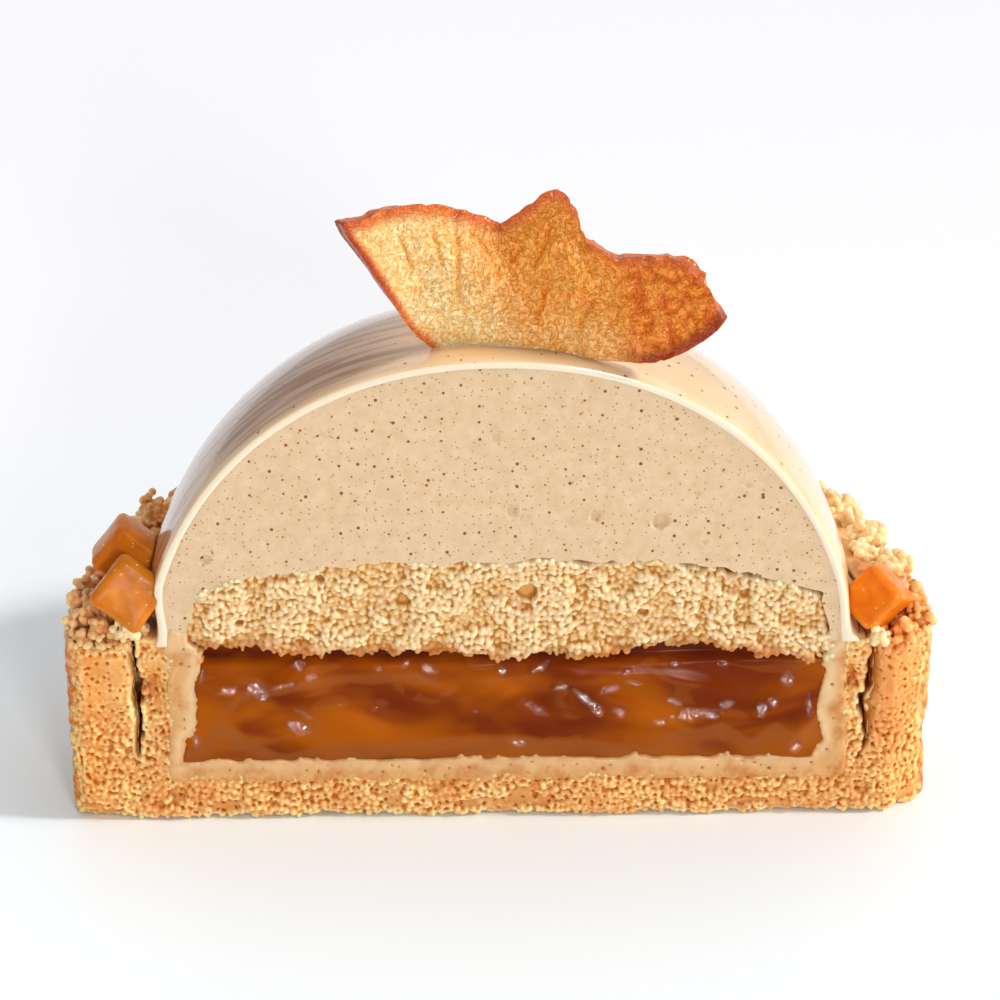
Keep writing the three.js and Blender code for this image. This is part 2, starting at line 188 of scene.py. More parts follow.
def prick(depth, x, z, places, radii, deep):
    """Presses small round pores into a face."""
    for place, radius in zip(places, radii):
        part, away = near_samples(x, z, place, radius)
        depth[part] += deep * np.sqrt(np.maximum(1 - (away / radius) ** 2, 0))


def melted(depth, back):
    """A face with its sharpest grooves filled a little, and how far each sample is raised in it."""
    shallow = np.minimum(depth, blurred(depth, 6) + 0.8)
    soft = 0.6 * shallow + 0.4 * blurred(shallow, 1)
    raised = np.clip(0.5 + (blurred(soft, 4) - soft) / 0.42, 0, 1)
    return np.where(depth < back, soft, back), raised


def mesh_piece(name, points, faces, marks, material, nodes):
    """A piece of the tart from points in millimetres, with a number at each point for each mark."""
    mesh = bpy.data.meshes.new(name)
    corners = [np.asarray(f, np.int32).reshape(-1) for f in faces]
    sizes = [np.full(len(f), np.asarray(f).shape[1] if len(f) else 3) for f in faces]
    sizes = np.concatenate(sizes)
    mesh.vertices.add(len(points))
    mesh.vertices.foreach_set("co", (np.asarray(points) * MM).astype(np.float32).ravel())
    mesh.loops.add(int(sizes.sum()))
    mesh.loops.foreach_set("vertex_index", np.concatenate(corners))
    mesh.polygons.add(len(sizes))
    starts = np.concatenate([[0], np.cumsum(sizes)[:-1]]).astype(np.int32)
    mesh.polygons.foreach_set("loop_start", starts)
    mesh.update(calc_edges=True)
    mesh.shade_smooth()
    for mark, values in marks.items():
        stored = mesh.attributes.new(mark, "FLOAT", "POINT")
        stored.data.foreach_set("value", np.asarray(values, np.float32))
    mesh.materials.append(material)
    piece = bpy.data.objects.new(name, mesh)
    bpy.context.scene.collection.objects.link(piece)
    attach(piece, "root")
    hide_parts(*nodes)
    return piece


def face_piece(name, depth, x, z, back, marks, material, nodes):
    """A piece whose front is a cut face, and which is closed at the depth given by back."""
    depth[[0, -1]] = depth[:, [0, -1]] = back
    corners = [np.s_[:-1, :-1], np.s_[1:, :-1], np.s_[1:, 1:], np.s_[:-1, 1:]]
    kept = np.logical_or.reduce([(depth < back)[corner] for corner in corners])
    used = np.zeros(depth.shape, bool)
    for corner in corners:
        used[corner] |= kept
    number = np.cumsum(used.ravel()).reshape(used.shape) - 1
    faces = np.stack([number[corner][kept] for corner in corners], 1)
    points = np.stack([x[used], CUT + depth[used], z[used]], 1)
    marks = {mark: values[used] for mark, values in marks.items()}
    piece = mesh_piece(name, points, [faces], marks, material, nodes)
    shape = bmesh.new()
    shape.from_mesh(piece.data)
    bmesh.ops.holes_fill(shape, edges=[edge for edge in shape.edges if edge.is_boundary], sides=0)
    shape.to_mesh(piece.data)
    shape.free()
    return piece


def lattice(low, high, step):
    """Sample places of a block, as three arrays that broadcast together."""
    axes = [np.arange(a, b + step, step, dtype=np.float32) for a, b in zip(low, high)]
    return np.meshgrid(*axes, indexing="ij", sparse=True)


def around_place(shape, low, step, middle, reach):
    """The part of a block near a place, and each sample's distance from that place."""
    start = np.maximum(np.floor((middle - reach - low) / step).astype(int), 0)
    stop = np.minimum(np.ceil((middle + reach - low) / step).astype(int) + 1, shape)
    if np.any(stop <= start):
        return None, None
    axes = [low[i] + step * np.arange(start[i], stop[i]) - middle[i] for i in range(3)]
    away = np.sqrt(axes[0][:, None, None] ** 2 + axes[1][None, :, None] ** 2 + axes[2] ** 2)
    return tuple(slice(a, b) for a, b in zip(start, stop)), away


def join_beads(field, low, step, middles, radii, blend):
    """Melts round beads onto a solid, which is given by each sample's distance outside it."""
    weight = np.exp(np.clip(-field / blend, -30, 30))
    for middle, radius in zip(middles, radii):
        part, away = around_place(field.shape, low, step, middle, radius + 5 * blend)
        if part:
            weight[part] += np.exp((radius - away) / blend)
    return (-blend * np.log(weight)).astype(np.float32)


def surface_of(field, low, step, merge=0.03, reach=0.5):
    """Points and faces of a solid's surface, and how far each point is raised in it."""
    closed = np.pad(field, 1, constant_values=step)
    grid = openvdb.FloatGrid(3 * step)
    grid.copyFromArray(np.clip(closed, -3 * step, 2.9 * step).astype(np.float32))
    points, triangles, quads = grid.convertToPolygons(0, merge)
    crowded = blurred((field < 0).astype(np.float32), max(1, round(reach / step)))
    at = np.clip(np.round(points - 1).astype(int), 0, np.array(field.shape) - 1)
    raised = np.clip(1 - (crowded[at[:, 0], at[:, 1], at[:, 2]] - 0.3) / 0.4, 0, 1)
    return (points - 1) * step + low, (triangles, quads), raised


def linear(colour):
    """A colour written as sRGB hex, turned to the linear values that a shader takes."""
    parts = [int(colour[i:i + 2], 16) / 255 for i in (1, 3, 5)]
    return [p / 12.92 if p < 0.04045 else ((p + 0.055) / 1.055) ** 2.4 for p in parts] + [1]


def add(material, kind, inputs=(), **settings):
    """Adds a node with its settings. An input is given as a value, or as the output it comes from."""
    node = material.node_tree.nodes.new(kind)
    for setting, value in settings.items():
        setattr(node, setting, value)
    for name, value in dict(inputs).items():
        if isinstance(value, bpy.types.NodeSocket):
            material.node_tree.links.new(value, node.inputs[name])
        else:
            node.inputs[name].default_value = value
    return node


def new_material(name):
    """A material without nodes yet."""
    material = bpy.data.materials.new(name)
    material.use_nodes = True
    material.node_tree.nodes.clear()
    return material


def crust_hollows(x, z):
    """Depth of the hollows where lumps fell out of the inner ring."""
    left = 1.5 * np.exp(-((x + 34.3) / 1.1) ** 2 - ((z - 14.8) / 2.4) ** 2)
    right = 1.4 * np.exp(-((x - 34.9) / 0.7) ** 2 - ((z - 15.2) / 1.7) ** 2)
    return left + right


def wall_at(z):
    """Half the shell's width on the cut at a height."""
    return CUT_HALF - SHELL_TAPER * (1 - z / SHELL_HEIGHT)


def crust_set_back(x, z):
    """How far behind the cut the crust stands, where corners and lumps came away from it."""
    corner = np.where(x > 0, CORNER_RIGHT, CORNER_LEFT)
    gone = 0.9 * np.maximum(0, np.abs(x) - (CUT_HALF - corner))
    foot = 0.5 * np.maximum(0, 1 - z) * (0.7 + 0.5 * uneven(x, 5, 1, 2.4, 1))
    rolling = 0.16 * uneven(x, 8, z, 4, 15) + 0.12 * uneven(x, 8, z, 1.6, 16)
    return gone + crust_hollows(x, z) + foot + rolling


def pressed(x, z):
    """1 where the dough was pressed close, towards the rim, and 0 where it is loose beads."""
    off, half, _ = crack_at(x, z)
    edge = np.minimum(np.minimum(wall_at(z) - np.abs(x), SHELL_HEIGHT - z), np.abs(off) - half)
    return ease(z + 2 * uneven(x, 3, z, 3, 12), 8.5, 13) * ease(edge, 0.2, 1.3)


def crack_at(x, z):
    """Distance outside the middle line of the crack, its half width, and its slanted side's width."""
    line = np.where(x > 0, np.interp(z, *CRACK_RIGHT), np.interp(z, *CRACK_LEFT))
    side = np.where(x > 0, np.interp(z, *CRACK_RIGHT_EDGE) - line, CRACK_LEFT_SIDE)
    return np.abs(x) - line, np.interp(z, *CRACK_HALF), side


def crack_side(x, z):
    """Depth of the crack's slanted outer side."""
    off, half, side = crack_at(x, z)
    share = np.clip((off - half) / (side - half), 0, 1)
    return np.where(off > half, 1.7 * (1 - share) ** 1.4, 0) * ease(z, CRACK_FOOT, CRACK_FOOT + 2.5)


def in_crust(x, z, spare):
    """Where the cut runs through crust, less a margin at its edges."""
    off, half, _ = crack_at(x, z)
    ragged = 0.22 * uneven(x, 6, z, 0.9, 13)
    foot = 0.12 + 0.22 * uneven(x, 6, 0, 1.6, 17) + 0.5 * spare
    ring = RING_RISE * ease(np.abs(x), 36.3, 35.6)
    inside = (np.abs(x) < wall_at(z) - spare + ragged) & (z > foot)
    inside &= z < SHELL_HEIGHT + ring - spare + ragged
    cavity = (np.abs(x - CAVITY_SHIFT) < CAVITY_RADIUS - 0.8 + 2 * spare + 2 * ragged)
    cavity &= z > SHELL_FLOOR + 0.45 - 2 * spare + ragged
    return inside & ~cavity & ~((np.abs(off) < half + spare * 0.5 + 0.3 * ragged) & (z > CRACK_FOOT))


def crust_relief(x, z):
    """How deep the knife tore between clumps of beads: deep low down, shallow near the rim."""
    loose = 1 - pressed(x, z)
    bent_x = x + 0.5 * uneven(x, 1, z, 1.2, 6)
    bent_z = z + 0.4 * uneven(x, 2, z, 1.2, 7)
    nearest, second = cells(bent_x, bent_z * 1.25, 1.7, 8)
    between = (1 - ease(second - nearest, 0.02, 0.25)) * ease(uneven(x, 4, z, 2.4, 9), -0.4, 0.3)
    rolling = 0.5 + 0.5 * uneven(x, 7, z, 1.5, 2)
    caves = ease(uneven(x * 0.7, 9, z, 1.5, 18), 0.35, 0.6) * ease(z, 6.5, 2)
    return (0.05 + 0.55 * loose) * between + (0.04 + 0.2 * loose) * rolling + 0.55 * caves


def crust_core(x, y, z):
    """Distance outside the close dough behind the cut face."""
    edge = np.minimum(SHELL_HEIGHT - z, SHELL_RADIUS - np.hypot(x, y))
    front = CUT + crust_set_back(x, z) + BODY_BACK - 0.6 * (1 - ease(edge, 0.4, 1.2)) - y
    wall = SHELL_RADIUS - SHELL_TAPER * (1 - z / SHELL_HEIGHT) - 0.35
    outside = np.hypot(x, y) - wall - 0.22 * uneven(x, y, z, 1.8, 3)
    top = z - (SHELL_HEIGHT - 0.4 + 0.2 * uneven(x, y, 9, 2.2, 4))
    cavity = np.maximum(np.hypot(x - CAVITY_SHIFT, y) - CAVITY_RADIUS, SHELL_FLOOR - z)
    off, half, _ = crack_at(x, z)
    crack = np.maximum(np.maximum(np.abs(off) - half - 0.1, CRACK_FOOT - z), y - CUT - CRACK_DEEP)
    body = np.maximum(np.maximum(outside, front), np.maximum(top, -z))
    return np.maximum(np.maximum(body, -cavity), -crack).astype(np.float32)


def wall_beads():
    """Beads on the outside and the rim of the shell."""
    draws = np.random.default_rng(11)
    steps = WALL_BEAD / SHELL_RADIUS
    angles, heights = np.arange(-0.25, math.pi + 0.25, steps), np.arange(0.35, SHELL_HEIGHT, WALL_BEAD)
    turn, up = [side.ravel() for side in np.meshgrid(angles, heights)]
    turn = turn + steps * draws.uniform(-0.45, 0.45, turn.shape)
    up = up + WALL_BEAD * draws.uniform(-0.45, 0.45, up.shape)
    size = draws.uniform(0.36, 0.8, turn.shape)
    wall = SHELL_RADIUS - SHELL_TAPER * (1 - up / SHELL_HEIGHT) - size * 0.5
    x, y = wall * np.cos(turn), wall * np.sin(turn)
    rim = scattered((-43, CUT, 0), (43, 43, 0.1), 0.7, 41)
    rim[:, 2] = SHELL_HEIGHT - 0.45
    across = np.hypot(rim[:, 0], rim[:, 1])
    rim = rim[(across < 42.4) & (across > 34)]
    middles = np.concatenate([np.stack([x, y, up], 1), rim])
    radii = np.concatenate([size, draws.uniform(0.34, 0.58, len(rim))])
    x, y, z = middles.T
    off, half, _ = crack_at(x, z)
    keep = (uneven(x, y, z, 2.2, 33) > -0.35) & (y > CUT + crust_set_back(x, z) + radii + 0.1)
    keep &= (np.abs(off) > half + radii * 0.6) | (y > CUT + CRACK_DEEP)
    return middles[keep], radii[keep]


baked_shortcrust = new_material("baked_shortcrust")
# Baked butter dough: matt and a little greasy on the beads. Painted light makes the tops of the
# beads paler, and painted shade makes their sides and the gaps and hollows between them browner
# and darker. The rim and the outside took more colour than the ring.
# Round the outside, finer beads are drawn between the modelled ones, a little coarser than real
# ones so that they show; they carry the same painted light and shade.
raised_mark = add(baked_shortcrust, "ShaderNodeAttribute", attribute_name="raised")
hollow = add(baked_shortcrust, "ShaderNodeAttribute", attribute_name="hollow")
tan = add(baked_shortcrust, "ShaderNodeAttribute", attribute_name="tan")
place = add(baked_shortcrust, "ShaderNodeTexCoord")
patches = add(baked_shortcrust, "ShaderNodeTexNoise", {
    "Vector": place.outputs["Object"], "Scale": 1 / (3.5 * MM), "Detail": 3})
grain = add(baked_shortcrust, "ShaderNodeTexNoise", {
    "Vector": place.outputs["Object"], "Scale": 1 / (0.22 * MM), "Detail": 4})
outside = add(baked_shortcrust, "ShaderNodeAttribute", attribute_name="outside")
spaced = add(baked_shortcrust, "ShaderNodeTexVoronoi", {
    "Vector": place.outputs["Object"], "Scale": 1 / (0.95 * MM)})
domed = add(baked_shortcrust, "ShaderNodeMapRange", {
    "Value": spaced.outputs["Distance"], "From Min": 0.95, "From Max": 0.2},
    interpolation_type="SMOOTHSTEP")
outer_beads = add(baked_shortcrust, "ShaderNodeMath", {
    0: domed.outputs[0], 1: outside.outputs["Fac"]}, operation="MULTIPLY")
rise = add(baked_shortcrust, "ShaderNodeMix", {
    0: outside.outputs["Fac"], 2: raised_mark.outputs["Fac"], 3: domed.outputs[0]})
# Painted light and shade: the raised mark makes bead tops paler and their sides and grooves darker, and the
# hollow mark darkens deep hollows.
crest = add(baked_shortcrust, "ShaderNodeMapRange", {
    "Value": rise.outputs[0], "From Min": 0.45, "From Max": 0.85}, interpolation_type="SMOOTHSTEP")
groove_shade = add(baked_shortcrust, "ShaderNodeMapRange", {
    "Value": rise.outputs[0], "From Min": 0.42, "From Max": 0.08, "To Max": 0.95})
deep = add(baked_shortcrust, "ShaderNodeMapRange", {
    "Value": hollow.outputs["Fac"], "From Min": 0.4, "From Max": 1.0})
tops = add(baked_shortcrust, "ShaderNodeMix", {
    0: tan.outputs["Fac"], 6: linear("#FFDE9C"), 7: linear("#FFD080")}, data_type="RGBA")
sides = add(baked_shortcrust, "ShaderNodeMix", {
    0: tan.outputs["Fac"], 6: linear("#F2B25C"), 7: linear("#F3A042")}, data_type="RGBA")
lit_bead_colour = add(baked_shortcrust, "ShaderNodeMix", {
    0: crest.outputs[0], 6: sides.outputs[2], 7: tops.outputs[2]}, data_type="RGBA")
toasted = add(baked_shortcrust, "ShaderNodeMapRange", {
    "Value": patches.outputs["Fac"], "From Min": 0.42, "From Max": 0.66, "To Max": 0.6})
browned = add(baked_shortcrust, "ShaderNodeAttribute", attribute_name="browned")
toast_share = add(baked_shortcrust, "ShaderNodeMath", {
    0: toasted.outputs[0], 1: browned.outputs["Fac"]}, operation="MAXIMUM")
varied = add(baked_shortcrust, "ShaderNodeMix", {
    0: toast_share.outputs[0], 6: lit_bead_colour.outputs[2], 7: linear("#E88E38")}, data_type="RGBA")
groove_shaded_colour = add(baked_shortcrust, "ShaderNodeMix", {
    0: groove_shade.outputs[0], 6: varied.outputs[2], 7: linear("#CE7018")}, data_type="RGBA")
shaded_gaps = add(baked_shortcrust, "ShaderNodeMix", {
    0: deep.outputs[0], 6: groove_shaded_colour.outputs[2], 7: linear("#A84A0A")}, data_type="RGBA")
beaded = add(baked_shortcrust, "ShaderNodeBump", {
    "Height": outer_beads.outputs[0], "Distance": 0.35 * MM})
roughened = add(baked_shortcrust, "ShaderNodeBump", {
    "Height": grain.outputs["Fac"], "Strength": 0.2, "Distance": 0.05 * MM, "Normal": beaded.outputs[0]})
finish = add(baked_shortcrust, "ShaderNodeBsdfPrincipled", {
    "Base Color": shaded_gaps.outputs[2], "Normal": roughened.outputs[0], "Roughness": 0.24,
    "IOR": 1.5, "Subsurface Weight": 0.5, "Subsurface Radius": (1.0, 0.5, 0.18),
    "Subsurface Scale": 0.45 * MM})
add(baked_shortcrust, "ShaderNodeOutputMaterial", {"Surface": finish.outputs[0]})

x, z = face_grid((-43.8, 0), (43.8, SHELL_HEIGHT + 1.6), GRAIN)
set_back = crust_set_back(x, z)
loose = 1 - pressed(x, z)
slanted = crack_side(x, z)
dough = set_back + slanted + 0.13 + 0.65 * loose * (1 - ease(slanted, 0, 0.3))
dough += 0.07 * uneven(x, 2, z, 0.5, 14)
depth = np.where(in_crust(x, z, 0.2), dough, CRUST_BACK)
middles, radii = bead_bed((-43, 0.1), (43, SHELL_HEIGHT + 0.8), BEAD, BEAD_SIZES, 20)
bead_x, bead_z = middles[:, 0], middles[:, 2]
bead_loose = 1 - pressed(bead_x, bead_z)
middles[:, 1] = radii + (middles[:, 1] - radii) * (0.08 + 0.2 * bead_loose)
middles[:, 1] += crust_set_back(bead_x, bead_z) + crust_relief(bead_x, bead_z) + 0.06
wanted = in_crust(bead_x, bead_z, 0.15) & (crack_side(bead_x, bead_z) < 0.12)
set_beads(depth, x, z, middles[wanted], radii[wanted])
places = scattered((-42, 0, 1), (42, 0.1, SHELL_HEIGHT), 0.85, 52)[:, ::2]
draws = np.random.default_rng(51)
places = places[in_crust(*places.T, 0.4) & (draws.uniform(size=len(places)) < 0.75)]
prick(depth, x, z, places, draws.uniform(0.1, 0.19, len(places)), 0.45)
depth, raised = melted(depth, CRUST_BACK)
# Painted shade: the hollow mark darkens the face the deeper it lies behind its beads.
sunk = depth - set_back + 0.5 * crust_hollows(x, z)
marks = {
    "raised": raised, "hollow": np.clip(sunk / 1.5, 0, 1), "tan": ease(np.abs(x), 36, 41),
    "browned": 0.7 * ease(x, 35.6, 36.6) * ease(-x, -41.2, -39.8) * ease(z, 4, 10),
    "outside": np.zeros(x.shape),
}
face_piece("crust_cut_face", depth, x, z, CRUST_BACK, marks, baked_shortcrust, ["crust"])

low = np.array([-44, CUT - 0.4, -0.5])
x, y, z = lattice(low, (44, 43.6, SHELL_HEIGHT + 0.6), WALL_STEP)
field = join_beads(crust_core(x, y, z), low, WALL_STEP, *wall_beads(), 0.06)
points, faces, _ = surface_of(np.maximum(field, -z), low, WALL_STEP)
across = np.hypot(points[:, 0], points[:, 1])
outward = ease(across, 36, 41)
marks = {"tan": outward, "outside": np.ones(len(points))}
mesh_piece("crust_shell", points, faces, marks, baked_shortcrust, ["crust"])


# ---- Almond cream lining ----
# A thin skin of almond cream baked inside the shell keeps the caramel from softening it. It is
# pale, close and a little waxy, with a few pores, and meets the crust in a crumbly line.
LINING_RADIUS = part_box("cream_lining")[1].y / MM
LINING_WALL = 1.8
LINING_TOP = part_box("cream_lining")[1].z / MM
LINING_BED = 6.9  # height of its upper side, under the caramel
LINING_STEP = 0.15
LINING_BACK = 1.4
HIDDEN_STEP = 0.9  # for what lies behind the cut faces and can't be seen
# Its inner edges on the cut, against the caramel: heights, and how far across they lie.
LINING_LEFT = ([7.2, 9.1, 10.9, 14.9, 18.5, 20], [-31.3, -31, -29.8, -30, -29.2, -30.6])
LINING_RIGHT = ([5.8, 7.2, 8.6, 11.4, 16.1, 18, 20], [30.1, 31.3, 32.1, 31.3, 32.1, 31.8, 33])


def lining_reach(x, z):
    """Distance inside the lining from its edge against the caramel."""
    ragged = 0.22 * uneven(x, 4, z, 1.3, 66)
    left = np.interp(z, *LINING_LEFT) - x
    right = x - np.interp(z, *LINING_RIGHT)
    return np.maximum(np.maximum(left, right), LINING_BED - z) + ragged


def hidden_part(name, solid, low, high, material, nodes):
    """The rest of a layer behind its cut face, modelled coarsely."""
    low = np.array(low)
    x, y, z = lattice(low, high, HIDDEN_STEP)
    field = np.broadcast_to(solid(x, y, z), (x.size, y.size, z.size)).astype(np.float32)
    points, faces, _ = surface_of(field, low, HIDDEN_STEP, 0.8)
    marks = {mark: np.full(len(points), 0.5) for mark in ("raised", "hollow", "soaked")}
    mesh_piece(name, points, faces, marks, material, nodes)


def lining_ring(x, y, z):
    """Distance outside the lining behind its cut face."""
    around = np.hypot(x - CAVITY_SHIFT, y)
    hollow = np.maximum(around - LINING_RADIUS + LINING_WALL, LINING_BED - z)
    ring = np.maximum(np.maximum(around - LINING_RADIUS, SHELL_FLOOR - z), z - LINING_TOP)
    return np.maximum(np.maximum(ring, CUT + LINING_BACK - 0.4 - y), -hollow)


baked_almond_cream = new_material("baked_almond_cream")
# Baked almond paste: pale, waxy and slightly see-through, darker where caramel has soaked in.
# Its pores and the gaps between its edge beads are darkened with painted shade. It is paler along
# its edge against the caramel, which is a painted sheen, and paler towards its top where it meets
# the mousse.
place = add(baked_almond_cream, "ShaderNodeTexCoord")
raised_mark = add(baked_almond_cream, "ShaderNodeAttribute", attribute_name="raised")
soaked = add(baked_almond_cream, "ShaderNodeTexNoise", {
    "Vector": place.outputs["Object"], "Scale": 1 / (1.8 * MM), "Detail": 4, "Roughness": 0.6})
stain = add(baked_almond_cream, "ShaderNodeMapRange", {
    "Value": soaked.outputs["Fac"], "From Min": 0.42, "From Max": 0.68})
paste = add(baked_almond_cream, "ShaderNodeMix", {
    0: stain.outputs[0], 6: linear("#E2AA68"), 7: linear("#CE7E30")}, data_type="RGBA")
sheen_share = add(baked_almond_cream, "ShaderNodeMath", {
    0: add(baked_almond_cream, "ShaderNodeAttribute", attribute_name="hollow").outputs["Fac"], 1: 0.75},
    operation="MULTIPLY")
cream = add(baked_almond_cream, "ShaderNodeMix", {
    0: sheen_share.outputs[0], 6: paste.outputs[2], 7: linear("#F2CE9C")}, data_type="RGBA")
# Painted shade: its pores and the gaps between its edge beads are darker.
pore_shade = add(baked_almond_cream, "ShaderNodeMapRange", {
    "Value": raised_mark.outputs["Fac"], "From Min": 0.42, "From Max": 0.1})
pore_shaded = add(baked_almond_cream, "ShaderNodeMix", {
    0: pore_shade.outputs[0], 6: cream.outputs[2], 7: linear("#B46A28")}, data_type="RGBA")
finish = add(baked_almond_cream, "ShaderNodeBsdfPrincipled", {
    "Base Color": pore_shaded.outputs[2], "Roughness": 0.26, "IOR": 1.46, "Subsurface Weight": 0.35,
    "Subsurface Radius": (1.0, 0.6, 0.3), "Subsurface Scale": 0.9 * MM})
add(baked_almond_cream, "ShaderNodeOutputMaterial", {"Surface": finish.outputs[0]})

x, z = face_grid((-34.2, SHELL_FLOOR - 0.8), (35.8, LINING_TOP + 3), LINING_STEP)
reach = lining_reach(x, z)
outer = CAVITY_RADIUS + 0.2 + 0.5 * uneven(x, 4, z, 0.9, 60) - np.abs(x - CAVITY_SHIFT)
outer = np.minimum(outer, z - SHELL_FLOOR + 0.6 + 0.4 * uneven(x, 4, z, 0.9, 61))
inside = (reach > 0) & (outer > 0) & (z < LINING_TOP + 2.8)
relief = 0.12 * uneven(x, 4, z, 2.4, 64) + 0.07 * uneven(x, 4, z, 0.9, 65)
depth = 0.14 + relief + 0.2 * np.clip(1 - reach / 0.35, 0, 1) ** 2 + 0.1 * (1 - ease(outer, 0, 0.8))
lap = LINING_TOP + 2.2 + 0.8 * uneven(x, 4, 0, 1.2, 59)
lap = lap - 2.4 * ease(np.abs(x) + 1.1 * (x < 0), 33.6, 34.4)
depth += 0.7 * ease(z, lap - 0.7, lap) - 0.22 * ease(z, 18.6, 19.6)  # laps over the mousse's foot
depth = np.where(inside, depth, LINING_BACK)
places = scattered((-34, 0, SHELL_FLOOR), (35, 0.1, LINING_TOP), 1.1, 67)[:, ::2]
places = places[lining_reach(*places.T) > 0.35]
radii = np.random.default_rng(68).uniform(-0.1, 0.18, len(places))
places, radii = places[radii > 0.06], radii[radii > 0.06]
prick(depth, x, z, places, radii, 0.35)
middles = scattered((-34.2, 0, SHELL_FLOOR - 0.6), (35.6, 0.1, LINING_TOP), 0.55, 63)
bead_reach = lining_reach(middles[:, 0], middles[:, 2])
bead_outer = CAVITY_RADIUS - np.abs(middles[:, 0] - CAVITY_SHIFT)
bead_outer = np.minimum(bead_outer, middles[:, 2] - SHELL_FLOOR + 0.6)
inner = (bead_reach > -0.1) & (bead_reach < 0.3) & (middles[:, 2] > LINING_BED)
middles = middles[inner | ((bead_outer > 0) & (bead_outer < 0.8))]
radii = np.random.default_rng(62).uniform(0.18, 0.38, len(middles))
middles[:, 1] = 0.06 + radii
set_beads(depth, x, z, middles, radii)
depth, raised = melted(depth, LINING_BACK)
# Painted sheen: paler along the edge against the caramel. It is also paler towards the top, where it meets
# the mousse. It is stored in the hollow mark.
sheen_and_pale_top = np.exp(-((reach - 0.7 + 0.4 * uneven(x, 4, z, 1.5, 69)) / 0.7) ** 2)
sheen_and_pale_top = sheen_and_pale_top * (0.55 + 0.45 * ease(z, LINING_BED - 0.8, LINING_BED + 2))
sheen_and_pale_top = np.maximum(sheen_and_pale_top, 0.8 * ease(z, LINING_TOP - 2, LINING_TOP + 0.5))
face_piece("lining_cut_face", depth, x, z, LINING_BACK, {"raised": raised, "hollow": sheen_and_pale_top},
           baked_almond_cream, ["cream_lining"])
hidden_part("lining_ring", lining_ring, (-34, CUT, SHELL_FLOOR - 1), (36, 35, LINING_TOP + 1),
            baked_almond_cream, ["cream_lining"])


# ---- Caramel and apple ----
# Soft caramel cooked with diced apple and poured in warm. It bulges a little out of the cut in
# smooth wet folds, amber where it is thin and clouded where pulp and cream are stirred in.
CARAMEL_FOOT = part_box("caramel_apple")[0].z / MM
CARAMEL_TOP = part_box("caramel_apple")[1].z / MM
CARAMEL_STEP = 0.16
CARAMEL_BACK = 1.6
CARAMEL_BULGE = 1.35  # how far its highest folds stand out
# Slopes of a crinkled patch, up and to the right, that throw the window's light to the camera.
WINDOW_UP, WINDOW_RIGHT = 0.425, 0.11
# Folds of the wet face: middle [x, z], half length, half width, lean in degrees, height.
CARAMEL_FOLDS = [
    (-26.5, 12.5, 4.5, 2.2, -58, 0.5), (-21.5, 15.4, 4.5, 1.5, 10, 0.45), (-15, 11, 6.5, 2.6, -16, 0.5),
    (-7, 14.6, 6.5, 1.5, -22, 0.55), (-4.5, 10.2, 5, 1.5, 14, 0.4), (2, 13, 6, 1.7, -33, 0.6),
    (8.5, 14.8, 4.5, 1.4, -34, 0.55), (6, 9.2, 8, 1.5, 5, 0.35), (14, 12.2, 5.5, 1.8, -26, 0.5),
    (19.5, 14.8, 4.2, 1.4, -18, 0.5), (22, 10.2, 6, 1.8, 8, 0.4), (27.5, 13.6, 3.2, 1.6, 42, 0.5),
    (29.8, 10.5, 3.2, 1.3, 66, 0.45), (12.5, 16.2, 5, 0.9, -6, 0.4),
]
# Where its skin is crinkled and glints: middle [x, z], half length, half width, lean in degrees.
CARAMEL_CRINKLES = [
    (-27, 14.9, 1.1, 0.45, 10), (-24, 14.9, 1.2, 0.7, -30), (-19.4, 12.2, 0.8, 0.3, -35),
    (-6.8, 16.9, 1.0, 0.6, -35), (3.4, 12.8, 1.5, 0.4, -38), (3.9, 17, 1.0, 0.35, 28),
    (8.6, 13.6, 2.2, 0.65, -42), (11.9, 12.4, 0.8, 0.7, 5), (10.9, 14.9, 0.9, 0.4, 15),
    (12.6, 16.6, 0.7, 0.4, 20), (6, 14.8, 1.6, 0.3, 12), (19.5, 11.8, 2.4, 0.6, 4),
    (17.4, 13, 1, 0.5, -30), (22.6, 12.8, 0.9, 0.5, 20), (28.4, 15.6, 0.7, 0.6, 0),
    (27, 13.2, 0.5, 0.5, 0), (-12.5, 12.6, 0.35, 0.15, 0), (1.9, 8.7, 0.9, 0.4, 0),
    (-9.4, 17.4, 0.6, 0.3, 45), (30.7, 12.5, 0.4, 1.2, 0), (-20.1, 10.6, 1.2, 0.7, -10),
    (-19.8, 17.6, 0.8, 0.45, 0), (-18.6, 16.2, 0.8, 0.35, 10), (-21.5, 15.5, 1.4, 0.25, 15),
    (13.3, 15.4, 0.9, 0.35, -30), (25.9, 12.3, 0.6, 0.9, 0), (15.9, 10.9, 0.6, 0.4, 0),
    (17.2, 17.3, 0.5, 0.3, 0), (22, 17.1, 0.6, 0.25, 0), (-12, 17, 0.5, 0.25, -20),
    (-2.5, 12.4, 0.4, 0.25, 0), (-15.8, 13.2, 0.4, 0.2, 20), (0.2, 16.6, 0.5, 0.4, 0),
    (-30.2, 8.9, 0.4, 0.8, 0), (-29.5, 16.2, 0.3, 0.9, -20), (29.6, 8, 0.7, 0.5, 30),
]
# Where cream was stirred in: the wavy top of the clouded layer, and a ribbon above it.
CLOUDED_TOP = (
    [-31, -29.3, -27.4, -25.4, -21.5, -17.2, -10.4, -0.7, 8.9, 14.8, 17.6, 22.5, 25.4, 27.3, 29.2, 32],
    [8, 9.6, 11.7, 9.5, 7.6, 8.7, 9.1, 9.5, 9.1, 7.6, 10.2, 10.9, 8.3, 11.2, 9.4, 12])
CLOUDED_RIBBON = ([-27.4, -25.9, -23, -20.1, -15.3, -10.4, -5], [12, 14.4, 15, 15.3, 15.8, 16.2, 15.9])


